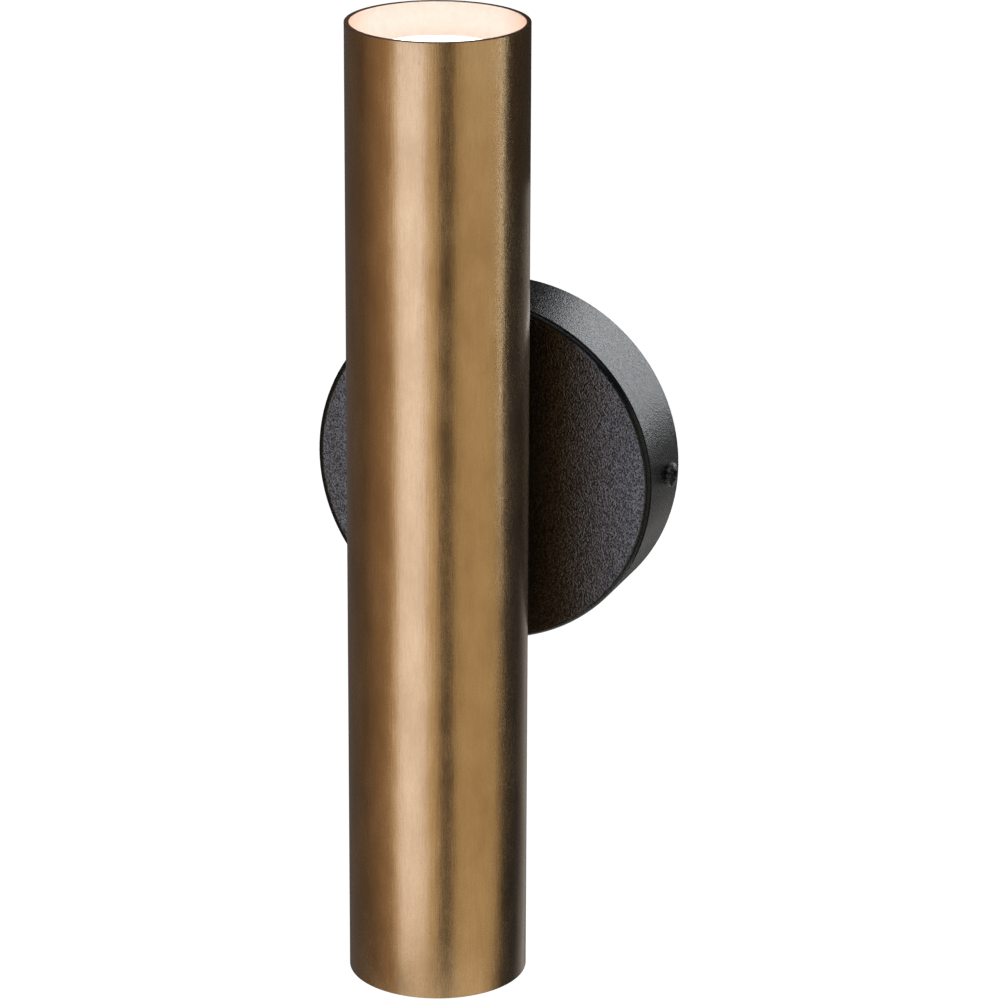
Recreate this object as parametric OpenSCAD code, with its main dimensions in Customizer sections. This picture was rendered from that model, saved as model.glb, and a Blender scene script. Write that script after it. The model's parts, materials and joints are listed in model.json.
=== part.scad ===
// Wall light with a brass tube that shines up and down, carried by a round black canopy.
// Millimetres. The wall is the plane y = 0 and the light stands out from it towards -Y, with +Z up.
// The origin is the centre of the wall bracket, on the wall.

/* [Lamp tube] */
// Space between a lamp and the inside of the tube
tube_room = 3.4; // [3:0.1:11]
// Length of the tube
tube_len = 328; // [300:1:420]
// Wall of the tube
tube_wall = 1.6; // [1:0.1:2]
// Space between the canopy and the back of the tube
tube_gap = 10.5; // [9:0.5:20]

/* [Canopy] */
// Diameter of the canopy
canopy_d = 120; // [112:1:150]
// Depth of the canopy, out from the wall
canopy_depth = 30; // [29:1:45]
// Sheet of the canopy
canopy_sheet = 1.5; // [1:0.1:2]
// Radius of the front edge of the canopy
canopy_edge_r = 1.8; // [1:0.1:3]

/* [Wall bracket] */
// Width of the strap
strap_w = 25; // [22:1:30]
// Thickness of the strap
strap_t = 2; // [1.5:0.1:3]
// Width of the two bent ears
ear_w = 16; // [12:1:20]
// Length of the ears, out from the wall
ear_len = 17; // [15:1:20]
// Distance between the centres of the two wall slots
slot_spacing = 60; // [56:1:70]
// Length of a wall slot, end to end
slot_len = 12; // [8:1:14]
// Width of a wall slot
slot_w = 5; // [4:0.5:6]
// Width of the tab that carries the terminal block
tab_w = 20; // [18:1:26]
// Diameter of the hole for the supply cable
cable_hole_d = 14; // [12:1:16]
// Bore of the cable grommet
grommet_bore = 8; // [6:0.5:10]

/* [Side screws] */
// Thread of the side screws
side_screw_d = 4; // [3:0.5:5]
// Length of the side screws under the head
side_screw_len = 8; // [7:1:12]
// Distance of the side screws from the wall
side_screw_out = 10.5; // [9:0.5:12]
// Diameter of the heads of the side screws
side_head_d = 8.2; // [7.6:0.1:9]
// Height of the heads of the side screws
side_head_h = 2.1; // [1.8:0.1:3.2]
// Diameter of the toothed washers under the heads
side_washer_d = 7.4; // [7:0.1:10]
// Thickness of the toothed washers
side_washer_t = 0.5; // [0.4:0.1:1]
// Diameter of the nuts that are pressed into the canopy for the side screws
rim_nut_d = 8; // [7:0.5:10]
// Thickness of those nuts inside the canopy
rim_nut_t = 2.4; // [2:0.1:3]

/* [Swivel] */
// Thread of the hollow nipple
nipple_d = 10; // [9:0.5:12]
// Bore of the nipple
nipple_bore = 7; // [6.8:0.1:7.6]
// Diameter of the collar between canopy and tube
collar_d = 24; // [20:1:28]
// Diameter of the friction washers
friction_d = 22; // [18:1:24]
// Thickness of the friction washers
friction_t = 0.8; // [0.5:0.1:1.2]
// Diameter of the stop washer
stop_washer_d = 20; // [17:1:22]
// Thickness of the stop washer
stop_washer_t = 1.2; // [0.8:0.1:1.6]
// Width of the tab on the stop washer
stop_tab_w = 4; // [3:0.5:5]
// Distance of the stop pin from the swivel axis
stop_pin_r = 14.5; // [14:0.5:18]
// Diameter of the stop pin
stop_pin_d = 3; // [2:0.5:4]
// Width across the flats of the nipple nuts
nipple_nut_af = 14; // [13:0.5:17]
// Thickness of the nut in the canopy
lock_nut_t = 4.5; // [3:0.5:5]
// Thickness of the nut in the tube
tube_nut_t = 3.5; // [3:0.5:5]

/* [Lamp carrier] */
// Width of the carrier strip
carrier_w = 16; // [14:1:18]
// Thickness of the carrier strip
carrier_t = 1.5; // [1:0.1:2]
// Thickness of the inner saddle at its centre
saddle_t = 2; // [1.5:0.1:3]
// Diameter of the two shelves
shelf_d = 34; // [32:1:40]

/* [Lampholders] */
// Diameter of a lampholder
holder_d = 30; // [28:1:34]
// Height of a lampholder
holder_h = 16; // [15:1:20]
// Angle that a lamp turns to unlock
lock_turn = 30; // [20:1:32]
// Distance between the centres of the two holder screws
holder_screw_spacing = 21; // [20:0.5:23]

/* [Lamps] */
// Diameter of a lamp
lamp_d = 50; // [48:0.5:52]
// Length of a lamp without its pins
lamp_len = 47; // [45:1:55]
// Depth of a lamp's front below the end of the tube
lamp_recess = 10.5; // [8:0.5:20]
// Distance between the centres of the two pins
pin_spacing = 10; // [9:0.5:11]
// Diameter of the neck of a pin
pin_neck_d = 3; // [2.5:0.1:3.2]
// Diameter of the head of a pin
pin_head_d = 5; // [4.4:0.1:5.2]
// Length of a pin
pin_len = 7; // [6.5:0.1:8]

/* [Wiring] */
// Diameter of an insulated lead
lead_d = 1.8; // [1.4:0.1:2]
// Distance between neighbouring poles of the terminal block
pole_pitch = 9; // [8:0.5:10]
// Width of the terminal block, along its clamps
block_w = 17; // [16:1:18]
// Height of the terminal block, out from the wall
block_h = 14; // [13:0.5:15]

/* [Hidden] */
$fn = 72;

// Overrun that takes a cut right through
over = 1;
// Radial clearance round a piece that turns
turn_gap = 0.1;
// Radial clearance round a piece that is held still
fit_gap = 0.05;
// Radial clearance round a screw or lead that passes through
pass_gap = 0.1;
// Space between a screwed-on piece and the curved surface that it faces
seat_gap = 0.15;

// Colours as the photograph shows them
brass_colour = [0.62, 0.46, 0.28];
black_colour = [0.1, 0.1, 0.11];
zinc_colour = [0.72, 0.73, 0.75];
nylon_colour = [0.9, 0.9, 0.86];
ceramic_colour = [0.93, 0.92, 0.88];
white_colour = [0.96, 0.95, 0.93];
glow_colour = [1, 0.93, 0.82];
copper_colour = [0.8, 0.6, 0.3];
live_colour = [0.36, 0.2, 0.12];
neutral_colour = [0.12, 0.3, 0.65];
earth_colour = [0.35, 0.6, 0.15];

// Canopy and tube places, measured out from the wall
canopy_r = canopy_d / 2;
canopy_in_r = canopy_r - canopy_sheet;
canopy_in_out = canopy_depth - canopy_sheet;
tube_r = lamp_d / 2 + tube_room + tube_wall;
tube_in_r = tube_r - tube_wall;
tube_back_out = canopy_depth + tube_gap;
tube_axis_out = tube_back_out + tube_r;

// Wall bracket
// Space between the strap and the terminal block, and from the block to the end of the tab
block_gap = 3;
pole_count = 3;
block_len = pole_count * pole_pitch;
block_foot = strap_w / 2 + block_gap;
tab_top = block_foot + block_len + block_gap;
tab_corner_r = 3;
// Distance of the earth screw from the centre of the strap
earth_x = -17;
// Front flange of the cable grommet
grommet_flange_w = 2;
grommet_flange_t = 1.5;

// Side screws
// Cross recess of the side screws, as shares of the head
recess_reach_share = 0.58;
recess_width_share = 0.15;
recess_depth_share = 0.5;
// Height of the domed part of a head, as a share of the head: pan heads, and the rounder side screws
pan_share = 0.42;
button_share = 0.8;
// Teeth of the washers under the side screws
washer_teeth = 12;
// Depth of the gaps between the teeth and their width, as shares of the washer
tooth_depth_share = 0.09;
tooth_width_share = 0.1;
side_washer_x = canopy_r + seat_gap;
side_head_x = side_washer_x + side_washer_t;
// Space between the tip of a side screw and the ear that it bears on
tip_play = 0.05;
ear_x = side_head_x - side_screw_len - tip_play;
rim_nut_x = sqrt(pow(canopy_in_r, 2) - pow(rim_nut_d / 2, 2));
// Pressed-in shank of a rim nut, and its length as a share of the canopy's sheet
rim_shank_d = 5.6;
rim_shank_share = 0.8;

// Terminal block
// Thickness of the block between its poles
block_web_h = 8;
// Width of the raised part over each pole
pole_w = 6.6;
clamp_d = 5;
clamp_bore = 3.4;
// Depth of the mouths at the two ends of a clamp
mouth_depth = 1;
clamp_out = strap_t + block_h / 2;
clamp_screw_d = 2.6;
clamp_screw_head_d = 3.6;
clamp_screw_head_h = 1.6;
clamp_screw_x = 4;
// Depth of the heads of the clamp screws below the top of the block
clamp_screw_sink = 1.5;
fixing_screw_d = 2;
fixing_head_d = 3.2;
fixing_head_h = 1.6;

// Earth point on the bracket
earth_screw_d = 4;
earth_head_d = 7.6;
earth_head_h = 2.4;
earth_washer_d = 8.4;
earth_washer_t = 0.6;
tag_d = 7.6;
tag_t = 0.8;
tag_barrel_d = 3;
tag_barrel_len = 4;
// Space between a tag's barrel and the head of its screw
tag_head_gap = 0.4;
tag_neck = earth_head_d / 2 + tag_head_gap;
tag_neck_w = 2.4;
// Distance from the back of the strap to the tip of a screw in it
tip_gap = 0.2;

// Swivel stack, inwards from the canopy
rear_friction_out = canopy_in_out - friction_t;
stop_washer_out = rear_friction_out - stop_washer_t;
spring_d = 18;
spring_t = 0.7;
spring_h = 1.2;
spring_out = stop_washer_out - spring_h;
lock_nut_out = spring_out - lock_nut_t;
// Thread that stands out past each nipple nut
nipple_end = 1.8;
nipple_in_out = lock_nut_out - nipple_end;
stop_pin_len = friction_t + stop_washer_t + spring_t;
stop_tab_reach = stop_pin_r + stop_pin_d;
// Swivel stack, outwards from the canopy
collar_out = canopy_depth + friction_t;
collar_tip_out = tube_axis_out - sqrt(pow(tube_r, 2) - pow(collar_d / 2, 2));
saddle_d = 20;
saddle_out = tube_back_out + tube_wall;
carrier_out = saddle_out + saddle_t;
tube_nut_out = carrier_out + carrier_t;
nipple_tip_out = tube_nut_out + tube_nut_t + nipple_end;
// Bushes in the ends of the nipple
bush_wall = 0.5;
bush_len = 3;
bush_flange_t = 0.8;
bush_bore_r = nipple_bore / 2 - bush_wall;

// Lamp and lampholder places, measured along the tube from its centre
lamp_front = tube_len / 2 - lamp_recess;
lamp_seat = lamp_front - lamp_len;
// Space between a lamp and its holder
lamp_gap = 0.1;
holder_top = lamp_seat - lamp_gap;
shelf_top = holder_top - holder_h;
shelf_low = shelf_top - carrier_t;
// Hole in a shelf for the leads
shelf_hole_d = 14;

// Lampholder
// Depths below the top of the holder
lip_depth = 3.2;
head_room_depth = pin_len + lamp_gap + turn_gap;
contact_t = 0.6;
contact_d = 4;
contact_stem_d = 1.6;
contact_stem_len = 2.4;
// Radial clearance round the pins
pin_gap = 0.3;
holder_chamfer = 1;
holder_screw_d = 3;
holder_head_d = 5.4;
holder_head_h = 1.8;
// Depth of the heads of the holder screws below the top of the holder
holder_head_sink = 3;
holder_nut_af = 5.5;
holder_nut_t = 2.4;
// Screw tip past its nut
holder_screw_end = 1;

// Lamp
pin_head_t = 2.2;
base_foot_r = 12.5;
base_waist_r = 14;
base_h = 14;
base_round_h = 2;
// Inside rim of the shell round the lens
shell_rim_w = 2;
shell_band_h = 6;
shell_t = 1.3;
shell_foot_r = 16;
// Height of the solid heat sink inside the shell
sink_h = 14;
// Passage for the wires of the board
sink_bore_d = 8;
// Radius of the heat sink's top, where the LED board lies
board_r = shell_foot_r + (lamp_d / 2 - shell_t / 2 - shell_foot_r)
    * sink_h / (lamp_len - shell_band_h - base_h) - shell_t;
board_t = 1.6;
led_side = 3.2;
led_t = 0.8;
led_ring_r = 7.5;
led_count = 6;
lens_t = 2;
// Depth of the lens below the rim of the shell
lens_sink = 0.5;
fin_count = 18;
fin_gap_w = 1.6;
fin_depth = 1.4;

// Leads
lead_sides = 8;
lead_steps = 4;
// Space between the leads in the nipple
lead_gap = 0.15;
lead_count = 5;
lead_ring_r = (lead_d + lead_gap) / (2 * sin(180 / lead_count));
// Where the feed leads end and the lamp leads begin, inside the nipple
lead_split_out = (nipple_in_out + canopy_in_out) / 2;
// Half the distance between two leads in one clamp
pair_half = (lead_d + lead_gap) / 2;
// Turn of the ring of leads in the nipple
lead_ring_turn = 18;
// A direction that no lead runs along, which sets where a sweep begins
lead_side_shares = [0.64, 0.42, 0.94];
// Run out of a clamp, as a share of the depth of its mouth
mouth_run_share = 2;
// Routes of the feed leads, as shares of a lead's diameter
loop_start_share = 2.5;
loop_step_share = 2.6;
loop_pair_share = 0.6;
lane_step_share = 1.3;
lane_pair_share = 0.3;
lane_end_share = 3;
// Place of a feed lead's last bend, as a share of its height above its place in the nipple
drop_share = 0.3;
// Routes of the lamp leads past the nipple, as shares of a lead's diameter
bend_up_share = 2;
bend_out_share = 2;
fan_up_share = 7;
holder_run_share = 4;

// The wall plane as a drawing plane: x to the right, y up and z out from the wall
module wall() {
    rotate([90, 0, 0]) children();
}

// Along the tube, outwards from its centre; the lower half is the upper one turned over
module along_tube(upper) {
    translate([0, -tube_axis_out, 0]) rotate([upper ? 0 : 180, 0, 0]) children();
}

// A pan-head screw with its head above z = 0 and its thread below
module pan_screw(d, len, head_d, head_h, dome_share = pan_share) {
    dome_h = head_h * dome_share;
    dome_r = (pow(head_d / 2, 2) + pow(dome_h, 2)) / (2 * dome_h);
    difference() {
        union() {
            translate([0, 0, -len]) cylinder(d = d, h = len + dome_h);
            rotate_extrude() intersection() {
                square([head_d / 2, head_h]);
                translate([0, head_h - dome_r]) circle(r = dome_r, $fn = 240);
            }
        }
        for (a = [0, 90])
            rotate(a) translate([
                -head_d * recess_reach_share / 2,
                -head_d * recess_width_share / 2,
                head_h * (1 - recess_depth_share)
            ]) cube([head_d * recess_reach_share, head_d * recess_width_share, head_h]);
    }
}

module ring(outer_d, inner_d, h) {
    difference() {
        cylinder(d = outer_d, h = h);
        translate([0, 0, -over]) cylinder(d = inner_d, h = h + 2 * over);
    }
}

module hex_nut(af, bore_d, h) {
    difference() {
        cylinder(d = af / cos(30), h = h, $fn = 6);
        translate([0, 0, -over]) cylinder(d = bore_d, h = h + 2 * over);
    }
}

// A slot along x, cut through a sheet that lies between z = 0 and z = t
module slot_cut(len, w, t) {
    translate([0, 0, -over]) {
        for (s = [-1, 1])
            translate([s * (len - w) / 2, 0, 0]) cylinder(d = w, h = t + 2 * over);
        translate([-(len - w) / 2, -w / 2, 0]) cube([len - w, w, t + 2 * over]);
    }
}

// A washer with gaps cut into its edge
module toothed_washer(d, bore_d, t) {
    difference() {
        ring(d, bore_d, t);
        for (i = [0 : washer_teeth - 1])
            rotate(i * 360 / washer_teeth) translate([
                d * (1 / 2 - tooth_depth_share),
                -d * tooth_width_share / 2,
                -over
            ]) cube([d, d * tooth_width_share, t + 2 * over]);
    }
}

// A ring tag that lies flat, with its barrel along +y
module ring_tag(bore_d) {
    difference() {
        union() {
            cylinder(d = tag_d, h = tag_t);
            translate([-tag_neck_w / 2, 0, 0]) cube([tag_neck_w, tag_neck + tag_barrel_len / 2, tag_t]);
            translate([0, tag_neck, tag_barrel_d / 2]) rotate([-90, 0, 0])
                cylinder(d = tag_barrel_d, h = tag_barrel_len);
        }
        translate([0, 0, -over]) cylinder(d = bore_d, h = tag_t + 2 * over);
        translate([0, tag_neck + tag_barrel_len / 2, tag_barrel_d / 2]) rotate([-90, 0, 0])
            cylinder(d = lead_d + 2 * fit_gap, h = tag_barrel_len);
    }
}

function unit(v) = v / norm(v);

// A lead's curve is a cubic B-spline, which cuts its corners and never swings wide of its points
function beyond(p, i) =
    i < 0 ? 2 * p[0] - p[1]
    : i >= len(p) ? 2 * p[len(p) - 1] - p[len(p) - 2]
    : p[i];
function spline_at(p, i, t) =
    let (a = beyond(p, i - 1), b = p[i], c = p[i + 1], d = beyond(p, i + 2), u = 1 - t)
    (u * u * u * a + (3 * t * t * t - 6 * t * t + 4) * b
    + (3 * u * u * u - 6 * u * u + 4) * c + t * t * t * d) / 6;
function spline(p) = [
    for (i = [0 : len(p) - 2], s = [0 : lead_steps - 1]) spline_at(p, i, s / lead_steps),
    p[len(p) - 1]
];
function headings(p, q) = [
    for (i = [0 : len(q) - 1])
        i == 0 ? unit(p[1] - p[0])
        : i == len(q) - 1 ? unit(p[len(p) - 1] - p[len(p) - 2])
        : unit(q[i + 1] - q[i - 1])
];
function squared(n, t) = unit(n - (n * t) * t);
function side_vectors(t, n, i = 0) =
    i == len(t) ? [] : let (m = squared(n, t[i])) concat([m], side_vectors(t, m, i + 1));

// A smooth tube swept along points, with square ends
module lead(points) {
    path = spline(points);
    t = headings(points, path);
    n = side_vectors(t, lead_side_shares);
    k = lead_sides;
    rings = len(path);
    vertices = [
        for (i = [0 : rings - 1], j = [0 : k - 1])
            let (b = cross(t[i], n[i]), a = 360 * j / k)
            path[i] + lead_d / 2 * (cos(a) * n[i] + sin(a) * b)
    ];
    wall_faces = [
        for (i = [0 : rings - 2], j = [0 : k - 1])
            let (a = i * k + j, b = i * k + (j + 1) % k)
            each [[b + k, b, a], [a + k, b + k, a]]
    ];
    last = (rings - 1) * k;
    end_faces = [for (j = [1 : k - 2]) each [[j, j + 1, 0], [last + j + 1, last + j, last]]];
    polyhedron(points = vertices, faces = concat(wall_faces, end_faces), convexity = 4);
}

// Wall bracket: a strap along the wall, two ears that the side screws press on, and a tab for the
// terminal block
module wall_bracket() {
    color(zinc_colour) wall() difference() {
        union() {
            translate([-ear_x, -strap_w / 2, 0]) cube([2 * ear_x, strap_w, strap_t]);
            translate([-tab_w / 2, 0, 0]) cube([tab_w, tab_top - tab_corner_r, strap_t]);
            translate([-tab_w / 2 + tab_corner_r, 0, 0])
                cube([tab_w - 2 * tab_corner_r, tab_top, strap_t]);
            for (s = [-1, 1]) {
                translate([s * (tab_w / 2 - tab_corner_r), tab_top - tab_corner_r, 0])
                    cylinder(r = tab_corner_r, h = strap_t);
                translate([s > 0 ? ear_x - strap_t : -ear_x, -ear_w / 2, 0])
                    cube([strap_t, ear_w, ear_len]);
            }
        }
        for (s = [-1, 1])
            translate([s * slot_spacing / 2, 0, 0]) slot_cut(slot_len, slot_w, strap_t);
        translate([0, 0, -over]) cylinder(d = cable_hole_d, h = strap_t + 2 * over);
        translate([earth_x, 0, -over]) cylinder(d = earth_screw_d + 2 * fit_gap, h = strap_t + 2 * over);
        for (i = [1 : pole_count - 1])
            translate([0, block_foot + i * pole_pitch, -over])
                cylinder(d = fixing_screw_d + 2 * fit_gap, h = strap_t + 2 * over);
    }
}

module cable_grommet() {
    color(black_colour) wall() difference() {
        union() {
            cylinder(d = cable_hole_d - 2 * fit_gap, h = strap_t + grommet_flange_t);
            translate([0, 0, strap_t])
                cylinder(d = cable_hole_d + 2 * grommet_flange_w, h = grommet_flange_t);
        }
        translate([0, 0, -over]) cylinder(d = grommet_bore, h = strap_t + grommet_flange_t + 2 * over);
    }
}

// Height of a pole's clamp above the centre of the bracket
function pole_up(i) = block_foot + (i + 1 / 2) * pole_pitch;

module at_poles() {
    for (i = [0 : pole_count - 1])
        translate([0, pole_up(i), clamp_out]) children();
}

module terminal_block() {
    color(white_colour) wall() difference() {
        union() {
            translate([-block_w / 2, block_foot, strap_t]) cube([block_w, block_len, block_web_h]);
            for (i = [0 : pole_count - 1])
                translate([-block_w / 2, pole_up(i) - pole_w / 2, strap_t])
                    cube([block_w, pole_w, block_h]);
        }
        at_poles() {
            translate([-block_w / 2 - over, 0, 0]) rotate([0, 90, 0])
                cylinder(d = clamp_d + 2 * fit_gap, h = block_w + 2 * over);
            for (s = [-1, 1])
                translate([s * clamp_screw_x, 0, 0])
                    cylinder(d = clamp_screw_head_d + 2 * fit_gap, h = block_h);
        }
        for (i = [1 : pole_count - 1])
            translate([0, block_foot + i * pole_pitch, strap_t]) {
                translate([0, 0, -over]) cylinder(d = fixing_screw_d + 2 * fit_gap, h = block_h);
                translate([0, 0, block_web_h]) cylinder(d = fixing_head_d + 2 * fit_gap, h = block_h);
            }
    }
}

module terminal_clamps() {
    color(copper_colour) wall() at_poles() difference() {
        translate([mouth_depth - block_w / 2, 0, 0]) rotate([0, 90, 0])
            cylinder(d = clamp_d, h = block_w - 2 * mouth_depth);
        translate([-block_w / 2, 0, 0]) rotate([0, 90, 0]) cylinder(d = clamp_bore, h = block_w);
        for (s = [-1, 1])
            translate([s * clamp_screw_x, 0, 0]) cylinder(d = clamp_screw_d + 2 * fit_gap, h = clamp_d);
    }
}

module terminal_screws() {
    head_out = block_h / 2 - clamp_screw_sink - clamp_screw_head_h;
    color(zinc_colour) wall() at_poles()
        for (s = [-1, 1])
            translate([s * clamp_screw_x, 0, head_out])
                pan_screw(clamp_screw_d, head_out, clamp_screw_head_d, clamp_screw_head_h);
}

module terminal_fixing_screws() {
    color(zinc_colour) wall()
        for (i = [1 : pole_count - 1])
            translate([0, block_foot + i * pole_pitch, strap_t + block_web_h])
                pan_screw(fixing_screw_d, strap_t + block_web_h - tip_gap, fixing_head_d, fixing_head_h);
}

earth_head_out = strap_t + earth_washer_t + tag_t;

module earth_screw() {
    color(zinc_colour) wall() translate([earth_x, 0, earth_head_out])
        pan_screw(earth_screw_d, earth_head_out - tip_gap, earth_head_d, earth_head_h);
}

module earth_washer() {
    color(zinc_colour) wall() translate([earth_x, 0, strap_t])
        toothed_washer(earth_washer_d, earth_screw_d + 2 * fit_gap, earth_washer_t);
}

module earth_ring_tag() {
    color(copper_colour) wall() translate([earth_x, 0, strap_t + earth_washer_t])
        ring_tag(earth_screw_d + 2 * fit_gap);
}

module bracket_earth_lead() {
    block_x = mouth_depth - block_w / 2;
    barrel = [earth_x, tag_neck + tag_barrel_len / 2, strap_t + earth_washer_t + tag_barrel_d / 2];
    color(earth_colour) wall() lead([
        [block_x, pole_up(0), clamp_out],
        [block_x - mouth_run_share * mouth_depth, pole_up(0), clamp_out],
        [(block_x + earth_x) / 2 - mouth_depth, pole_up(0), clamp_out],
        [earth_x, (pole_up(0) + barrel[1] + tag_barrel_len) / 2, (clamp_out + barrel[2]) / 2],
        barrel + [0, tag_barrel_len, 0],
        barrel
    ]);
}

// Place of a lead in the nipple, as [x, y] from the swivel axis
function ring_place(i) =
    let (a = lead_ring_turn + 360 * i / lead_count)
    lead_ring_r * [cos(a), sin(a)];

// Feed leads run from the block round to the right, down, and into the nipple from the wall side
lane_out = (nipple_in_out + strap_t + grommet_flange_t) / 2;

// A feed lead from a pole to place k in the nipple; lane_share says how high it crosses,
// back_share how near the wall, and pair which of the two leads in its clamp it is
module feed_lead(pole, k, lane_share, back_share, pair) {
    mouth = [block_w / 2 - mouth_depth, pole_up(pole), clamp_out + pair * pair_half];
    loop_x = block_w / 2 + (loop_start_share + pole * loop_step_share + pair * loop_pair_share) * lead_d;
    up = lane_share * lane_step_share * lead_d;
    out = lane_out + (pair * lane_pair_share - back_share) * lead_d;
    end = ring_place(k);
    lead([
        mouth,
        mouth + [mouth_run_share * mouth_depth, 0, 0],
        [loop_x, mouth[1], mouth[2]],
        [loop_x, (mouth[1] + up) / 2, mouth[2]],
        [loop_x, up, out],
        [end[0] + lane_end_share * lead_d, up, out],
        [end[0], end[1] + (up - end[1]) * drop_share, out + lead_d],
        [end[0], end[1], nipple_in_out - lead_d],
        [end[0], end[1], nipple_in_out],
        [end[0], end[1], lead_split_out]
    ]);
}

module live_feed_leads() {
    color(live_colour) wall() {
        feed_lead(2, 0, lane_share = -1.2, back_share = -0.4, pair = -1);
        feed_lead(2, 4, lane_share = -2.2, back_share = -0.4, pair = 1);
    }
}

module neutral_feed_leads() {
    color(neutral_colour) wall() {
        feed_lead(1, 2, lane_share = 0.9, back_share = 1.1, pair = -1);
        feed_lead(1, 3, lane_share = -0.3, back_share = 1.1, pair = 1);
    }
}

module earth_feed_lead() {
    color(earth_colour) wall() feed_lead(0, 1, lane_share = 2.1, back_share = 0, pair = 0);
}

// Canopy: a pressed cup, open to the wall, with a hole for the nut of each side screw
module canopy() {
    color(black_colour) wall() difference() {
        rotate_extrude($fn = 180) {
            square([canopy_r, canopy_depth - canopy_edge_r]);
            square([canopy_r - canopy_edge_r, canopy_depth]);
            translate([canopy_r - canopy_edge_r, canopy_depth - canopy_edge_r]) circle(r = canopy_edge_r);
        }
        translate([0, 0, -over]) cylinder(r = canopy_in_r, h = canopy_in_out + over, $fn = 180);
        translate([0, 0, canopy_in_out - over])
            cylinder(d = nipple_d + 2 * turn_gap, h = canopy_sheet + 2 * over);
        for (s = [-1, 1])
            translate([s * (canopy_in_r - over), 0, side_screw_out]) rotate([0, 90 * s, 0])
                cylinder(d = rim_shank_d + 2 * fit_gap, h = canopy_sheet + 2 * over);
        translate([0, -stop_pin_r, canopy_in_out - over])
            cylinder(d = stop_pin_d, h = over + canopy_sheet / 2);
    }
}

// A threaded nut, pressed into the rim of the canopy from inside
module rim_nut(s) {
    color(zinc_colour) at_side(s, rim_nut_x) difference() {
        union() {
            translate([0, 0, -rim_nut_t]) cylinder(d = rim_nut_d, h = rim_nut_t);
            cylinder(d = rim_shank_d, h = canopy_sheet * rim_shank_share);
        }
        translate([0, 0, -rim_nut_t - over])
            cylinder(d = side_screw_d + 2 * fit_gap, h = rim_nut_t + canopy_sheet + 2 * over);
    }
}

module right_rim_nut() {
    rim_nut(1);
}

module left_rim_nut() {
    rim_nut(-1);
}

module front_friction_washer() {
    color(nylon_colour) wall() translate([0, 0, canopy_depth])
        ring(friction_d, nipple_d + 2 * turn_gap, friction_t);
}

module rear_friction_washer() {
    color(nylon_colour) wall() translate([0, 0, rear_friction_out])
        ring(friction_d, nipple_d + 2 * turn_gap, friction_t);
}

// The pin stands in a blind hole on the inside of the canopy
module stop_pin() {
    color(zinc_colour) wall() translate([0, -stop_pin_r, canopy_in_out - stop_pin_len])
        cylinder(d = stop_pin_d, h = stop_pin_len + canopy_sheet / 2);
}

// Lamp tube: open at both ends, with one hole in its back for the nipple
module lamp_tube() {
    color(brass_colour) difference() {
        translate([0, -tube_axis_out, -tube_len / 2]) difference() {
            cylinder(r = tube_r, h = tube_len, $fn = 180);
            translate([0, 0, -over]) cylinder(r = tube_in_r, h = tube_len + 2 * over, $fn = 180);
        }
        wall() translate([0, 0, tube_back_out - over])
            cylinder(d = nipple_d + 2 * fit_gap, h = tube_wall + 2 * over);
    }
}

module swivel_nipple() {
    color(copper_colour) wall() translate([0, 0, nipple_in_out])
        ring(nipple_d, nipple_bore, nipple_tip_out - nipple_in_out);
}

// A bush with its flange below z = 0 and its barrel above
module bush() {
    difference() {
        union() {
            cylinder(d = nipple_bore - 2 * fit_gap, h = bush_len);
            translate([0, 0, -bush_flange_t]) cylinder(d = nipple_d, h = bush_flange_t);
        }
        translate([0, 0, -bush_flange_t - over])
            cylinder(r = bush_bore_r, h = bush_len + bush_flange_t + 2 * over);
    }
}

module nipple_bushes() {
    color(nylon_colour) wall() {
        translate([0, 0, nipple_in_out]) bush();
        translate([0, 0, nipple_tip_out]) rotate([180, 0, 0]) bush();
    }
}

// The tube's outside and inside surfaces as solid rods, in the wall frame
module tube_rod(r) {
    translate([0, 0, tube_axis_out]) rotate([90, 0, 0])
        translate([0, 0, -collar_d]) cylinder(r = r, h = 2 * collar_d, $fn = 180);
}

module saddle_collar() {
    color(black_colour) wall() difference() {
        translate([0, 0, collar_out]) cylinder(d = collar_d, h = collar_tip_out - collar_out);
        translate([0, 0, collar_out - over])
            cylinder(d = nipple_d + 2 * fit_gap, h = collar_tip_out - collar_out + 2 * over);
        tube_rod(tube_r + fit_gap);
    }
}

module inner_saddle() {
    color(zinc_colour) wall() intersection() {
        translate([0, 0, saddle_out]) ring(saddle_d, nipple_d + 2 * fit_gap, saddle_t);
        tube_rod(tube_in_r - fit_gap);
    }
}

module tube_nut() {
    color(zinc_colour) wall() translate([0, 0, tube_nut_out])
        hex_nut(nipple_nut_af, nipple_d + 2 * fit_gap, tube_nut_t);
}

// The tab on the stop washer points up at rest and meets the pin near the end of a turn either way
module stop_washer() {
    color(zinc_colour) wall() translate([0, 0, stop_washer_out]) difference() {
        union() {
            cylinder(d = stop_washer_d, h = stop_washer_t);
            translate([-stop_tab_w / 2, 0, 0]) cube([stop_tab_w, stop_tab_reach, stop_washer_t]);
        }
        translate([0, 0, -over]) cylinder(d = nipple_d + 2 * fit_gap, h = stop_washer_t + 2 * over);
    }
}

module disc_spring() {
    rise = spring_h - spring_t;
    inner = nipple_d / 2 + fit_gap;
    outer = spring_d / 2;
    color(zinc_colour) wall() translate([0, 0, spring_out]) rotate_extrude() polygon([
        [inner, 0],
        [outer, rise],
        [outer, spring_h],
        [inner, spring_t]
    ]);
}

module lock_nut() {
    color(zinc_colour) wall() translate([0, 0, lock_nut_out])
        hex_nut(nipple_nut_af, nipple_d + 2 * fit_gap, lock_nut_t);
}

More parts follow.
